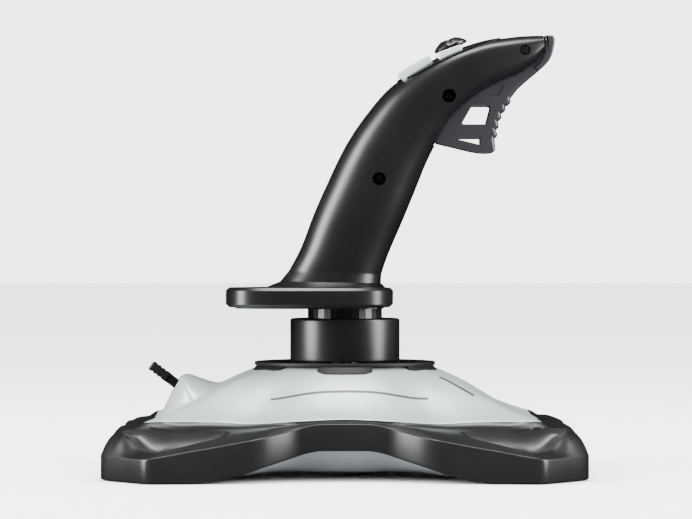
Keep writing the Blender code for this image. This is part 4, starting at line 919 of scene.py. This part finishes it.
def window_cutter(name, outline, half, flare):
    """An opening with its two mouths flared."""
    facing = inward(outline)
    rings = []
    levels = [(-12.0, flare), (-half, flare), (flare - half, 0.0)]
    levels += [(-y, out) for y, out in reversed(levels)]
    for y, out in levels:
        rings.append([(p[0] - n.x * out, y, p[1] - n.y * out) for p, n in zip(outline, facing)])
    return loft(name, rings)


def make_trigger():
    """The skeleton blade, with a broad rounding on its finger edge, and the wider band over the nose."""
    front = [tuple(p) for p in curve_through(TRIGGER_FRONT, 6)]
    teeth = trigger_teeth()
    foot = [tuple(p) for p in curve_through(TRIGGER_FOOT, 6)]
    outline = [*front, *teeth, *foot, *TRIGGER_HIDDEN]
    facing = inward(outline)
    radii = []
    for k in range(len(outline)):
        past_teeth = k - len(front) - len(teeth)
        if k >= len(front) and past_teeth < 0:
            facing[k] = -TRIGGER_FACING
        ease = smooth((k - 0.45 * len(front)) / (0.4 * len(front))) * (1.0 - smooth(past_teeth / 12.0))
        radii.append(mix(0.7, 2.5, ease))
    blade = edged_plate("trigger_fine", outline, facing, radii, TRIGGER_HALF)
    cap_outline = [tuple(p) for p in curve_through(TRIGGER_FRONT[:7], 6)]
    cap_outline += [(86.8, 185.0), (90.2, 189.0), (91.7, 192.4)]
    cap = edged_plate("trigger_nose", cap_outline, inward(cap_outline), [1.2] * len(cap_outline), NOSE_HALF)
    cutters = [window_cutter("window", rounded(WINDOW, 0.9, 4), TRIGGER_HALF, 0.5)]
    cutters.append(window_cutter("lower_window", rounded(LOWER_WINDOW, 0.25, 3), TRIGGER_HALF, 0.3))
    recess = rounded([(71.5, 178.3), (73.1, 176.7), (70.4, 172.4), (66.1, 172.4), (64.7, 173.6)], 0.5, 3)
    cutters += [prism("recess", recess, side * (TRIGGER_HALF - 0.35), side * 12.0) for side in (-1, 1)]
    x, z = TRIGGER_PIVOT
    cutters.append(rod("bore", (x, -12, z), (x, 12, z), 1.8))
    boolean(blade, *cutters)
    # Blade and nose band both take the trigger black with its painted sheen.
    settle(blade, TRIGGER_BLACK_WITH_SHEEN, "trigger", ["trigger"])
    settle(cap, TRIGGER_BLACK_WITH_SHEEN, "trigger")


# ---------------------------------------------------------------- throttle
def make_throttle():
    hub = 7.0
    points = [(28.5, -6.0), (LEVER_REACH, -6.0), (LEVER_REACH, 6.0), (28.5, 6.0), (27.0, 4.0)]
    for k in range(41):
        a = math.radians(35.0 + 7.25 * k)
        points.append((hub * math.cos(a), hub * math.sin(a)))
    points.append((27.0, -4.0))
    outline = rounded(points, 1.2, 4)
    half, edge = LEVER_HALF_THICK, 0.4
    levels = [(-half, edge), (edge * 0.3 - half, edge * 0.3), (edge - half, 0.0)]
    levels += [(-w, inset) for w, inset in reversed(levels)]
    centre = Vector((18.0, 0.0))
    made = []
    for w, inset in levels:
        row = []
        for p in outline:
            q = Vector(p)
            q -= (q - centre).normalized() * inset
            row.append(throttle_point(q.x, q.y, w))
        made.append(row)
    lever = loft("throttle_lever_fine", made)
    cutters = [rod("bore", throttle_point(0, 0, -6), throttle_point(0, 0, 6), 2.3)]
    for k in range(3):
        u = LEVER_REACH - 2.4 - 2.2 * k
        for side in (-1, 1):
            w = side * (half + 0.25)
            cutters.append(rod("rib", throttle_point(u, -9, w), throttle_point(u, 9, w), 0.6, 12))
    boolean(lever, *cutters)
    settle(lever, BLACK, "throttle", ["throttle_lever"])


# ---------------------------------------------------------------- the CAD nodes that stay
def paint_frame_nodes():
    by_slot = {
        "black_plastic": BLACK, "silver_shell": SILVER, "grey_cover": GREY, "dark_gloss": DARK_GLOSS,
        "silver_button": BUTTON_SILVER, "nylon": NYLON, "rubber": RUBBER, "steel": STEEL,
        "circuit_board": CIRCUIT,
    }
    for entry in frame["record"]["subparts"]:
        node = frame["nodes"][entry["node"]]
        node.data.materials.clear()
        dark = entry["node"].startswith("grip_screw") or entry["node"] == "trigger_pin"
        node.data.materials.append(DARK_GLOSS if dark else by_slot[entry["material_slot"]])


# ---------------------------------------------------------------- studio
def area_light(name, place, aim, size, power):
    light = bpy.data.lights.new(name, "AREA")
    light.shape, light.size, light.size_y = "RECTANGLE", size[0], size[1]
    light.energy = power
    holder = bpy.data.objects.new(name, light)
    bpy.context.scene.collection.objects.link(holder)
    holder.location = place
    holder.rotation_euler = (Vector(aim) - Vector(place)).to_track_quat("-Z", "Y").to_euler()


def make_studio():
    """A white floor and sky that gloss doesn't mirror, with tall soft lights at each end and one above."""
    floor_mesh = bpy.data.meshes.new("floor")
    reach = 12.0
    corners = [(-reach, -reach, 0), (reach, -reach, 0), (reach, reach, 0), (-reach, reach, 0)]
    floor_mesh.from_pydata(corners, [], [(0, 1, 2, 3)])
    floor = bpy.data.objects.new("floor", floor_mesh)
    bpy.context.scene.collection.objects.link(floor)
    floor_mesh.materials.append(moulded("floor_white", (0.86, 0.86, 0.86), 0.7, depth=0.0, tint=0.005))

    world = bpy.data.worlds.new("studio")
    world.use_nodes = True
    backdrop = world.node_tree.nodes["Background"]
    backdrop.inputs["Color"].default_value = (1.0, 1.0, 1.0, 1.0)
    backdrop.inputs["Strength"].default_value = 4.2
    bpy.context.scene.world = world
    world.cycles_visibility.glossy = False
    floor.visible_glossy = False

    aim = (0.0, 0.0, 0.1)
    area_light("back_side", (-1.3, -0.35, 0.45), aim, (0.5, 1.2), 60.0)
    area_light("front_side", (1.3, -0.35, 0.45), aim, (0.5, 1.2), 48.0)
    area_light("top", (0.0, -0.1, 1.4), aim, (0.8, 0.5), 28.0)


def make_camera():
    """Level, 1.5 m away on the user's right."""
    camera = bpy.data.cameras.new("camera")
    camera.sensor_width, camera.lens = 36.0, 169.6
    camera.clip_end = 100.0
    holder = bpy.data.objects.new("camera", camera)
    bpy.context.scene.collection.objects.link(holder)
    holder.location = (0.0005, -1.5, 0.0973)
    holder.rotation_euler = (math.radians(90.0), 0.0, 0.0)
    bpy.context.scene.camera = holder


paint_frame_nodes()
make_frame()
make_shell()
make_base_buttons()
make_cover()
make_feet()
make_bezel()
make_marks()
make_stick()
make_grip_half("grip_shell_right_fine", -1, "grip_shell_right")
make_grip_half("grip_shell_left_fine", 1, "grip_shell_left")
make_panel()
make_thumb_buttons()
make_hat()
make_side_button()
make_trigger()
make_throttle()
make_studio()
make_camera()
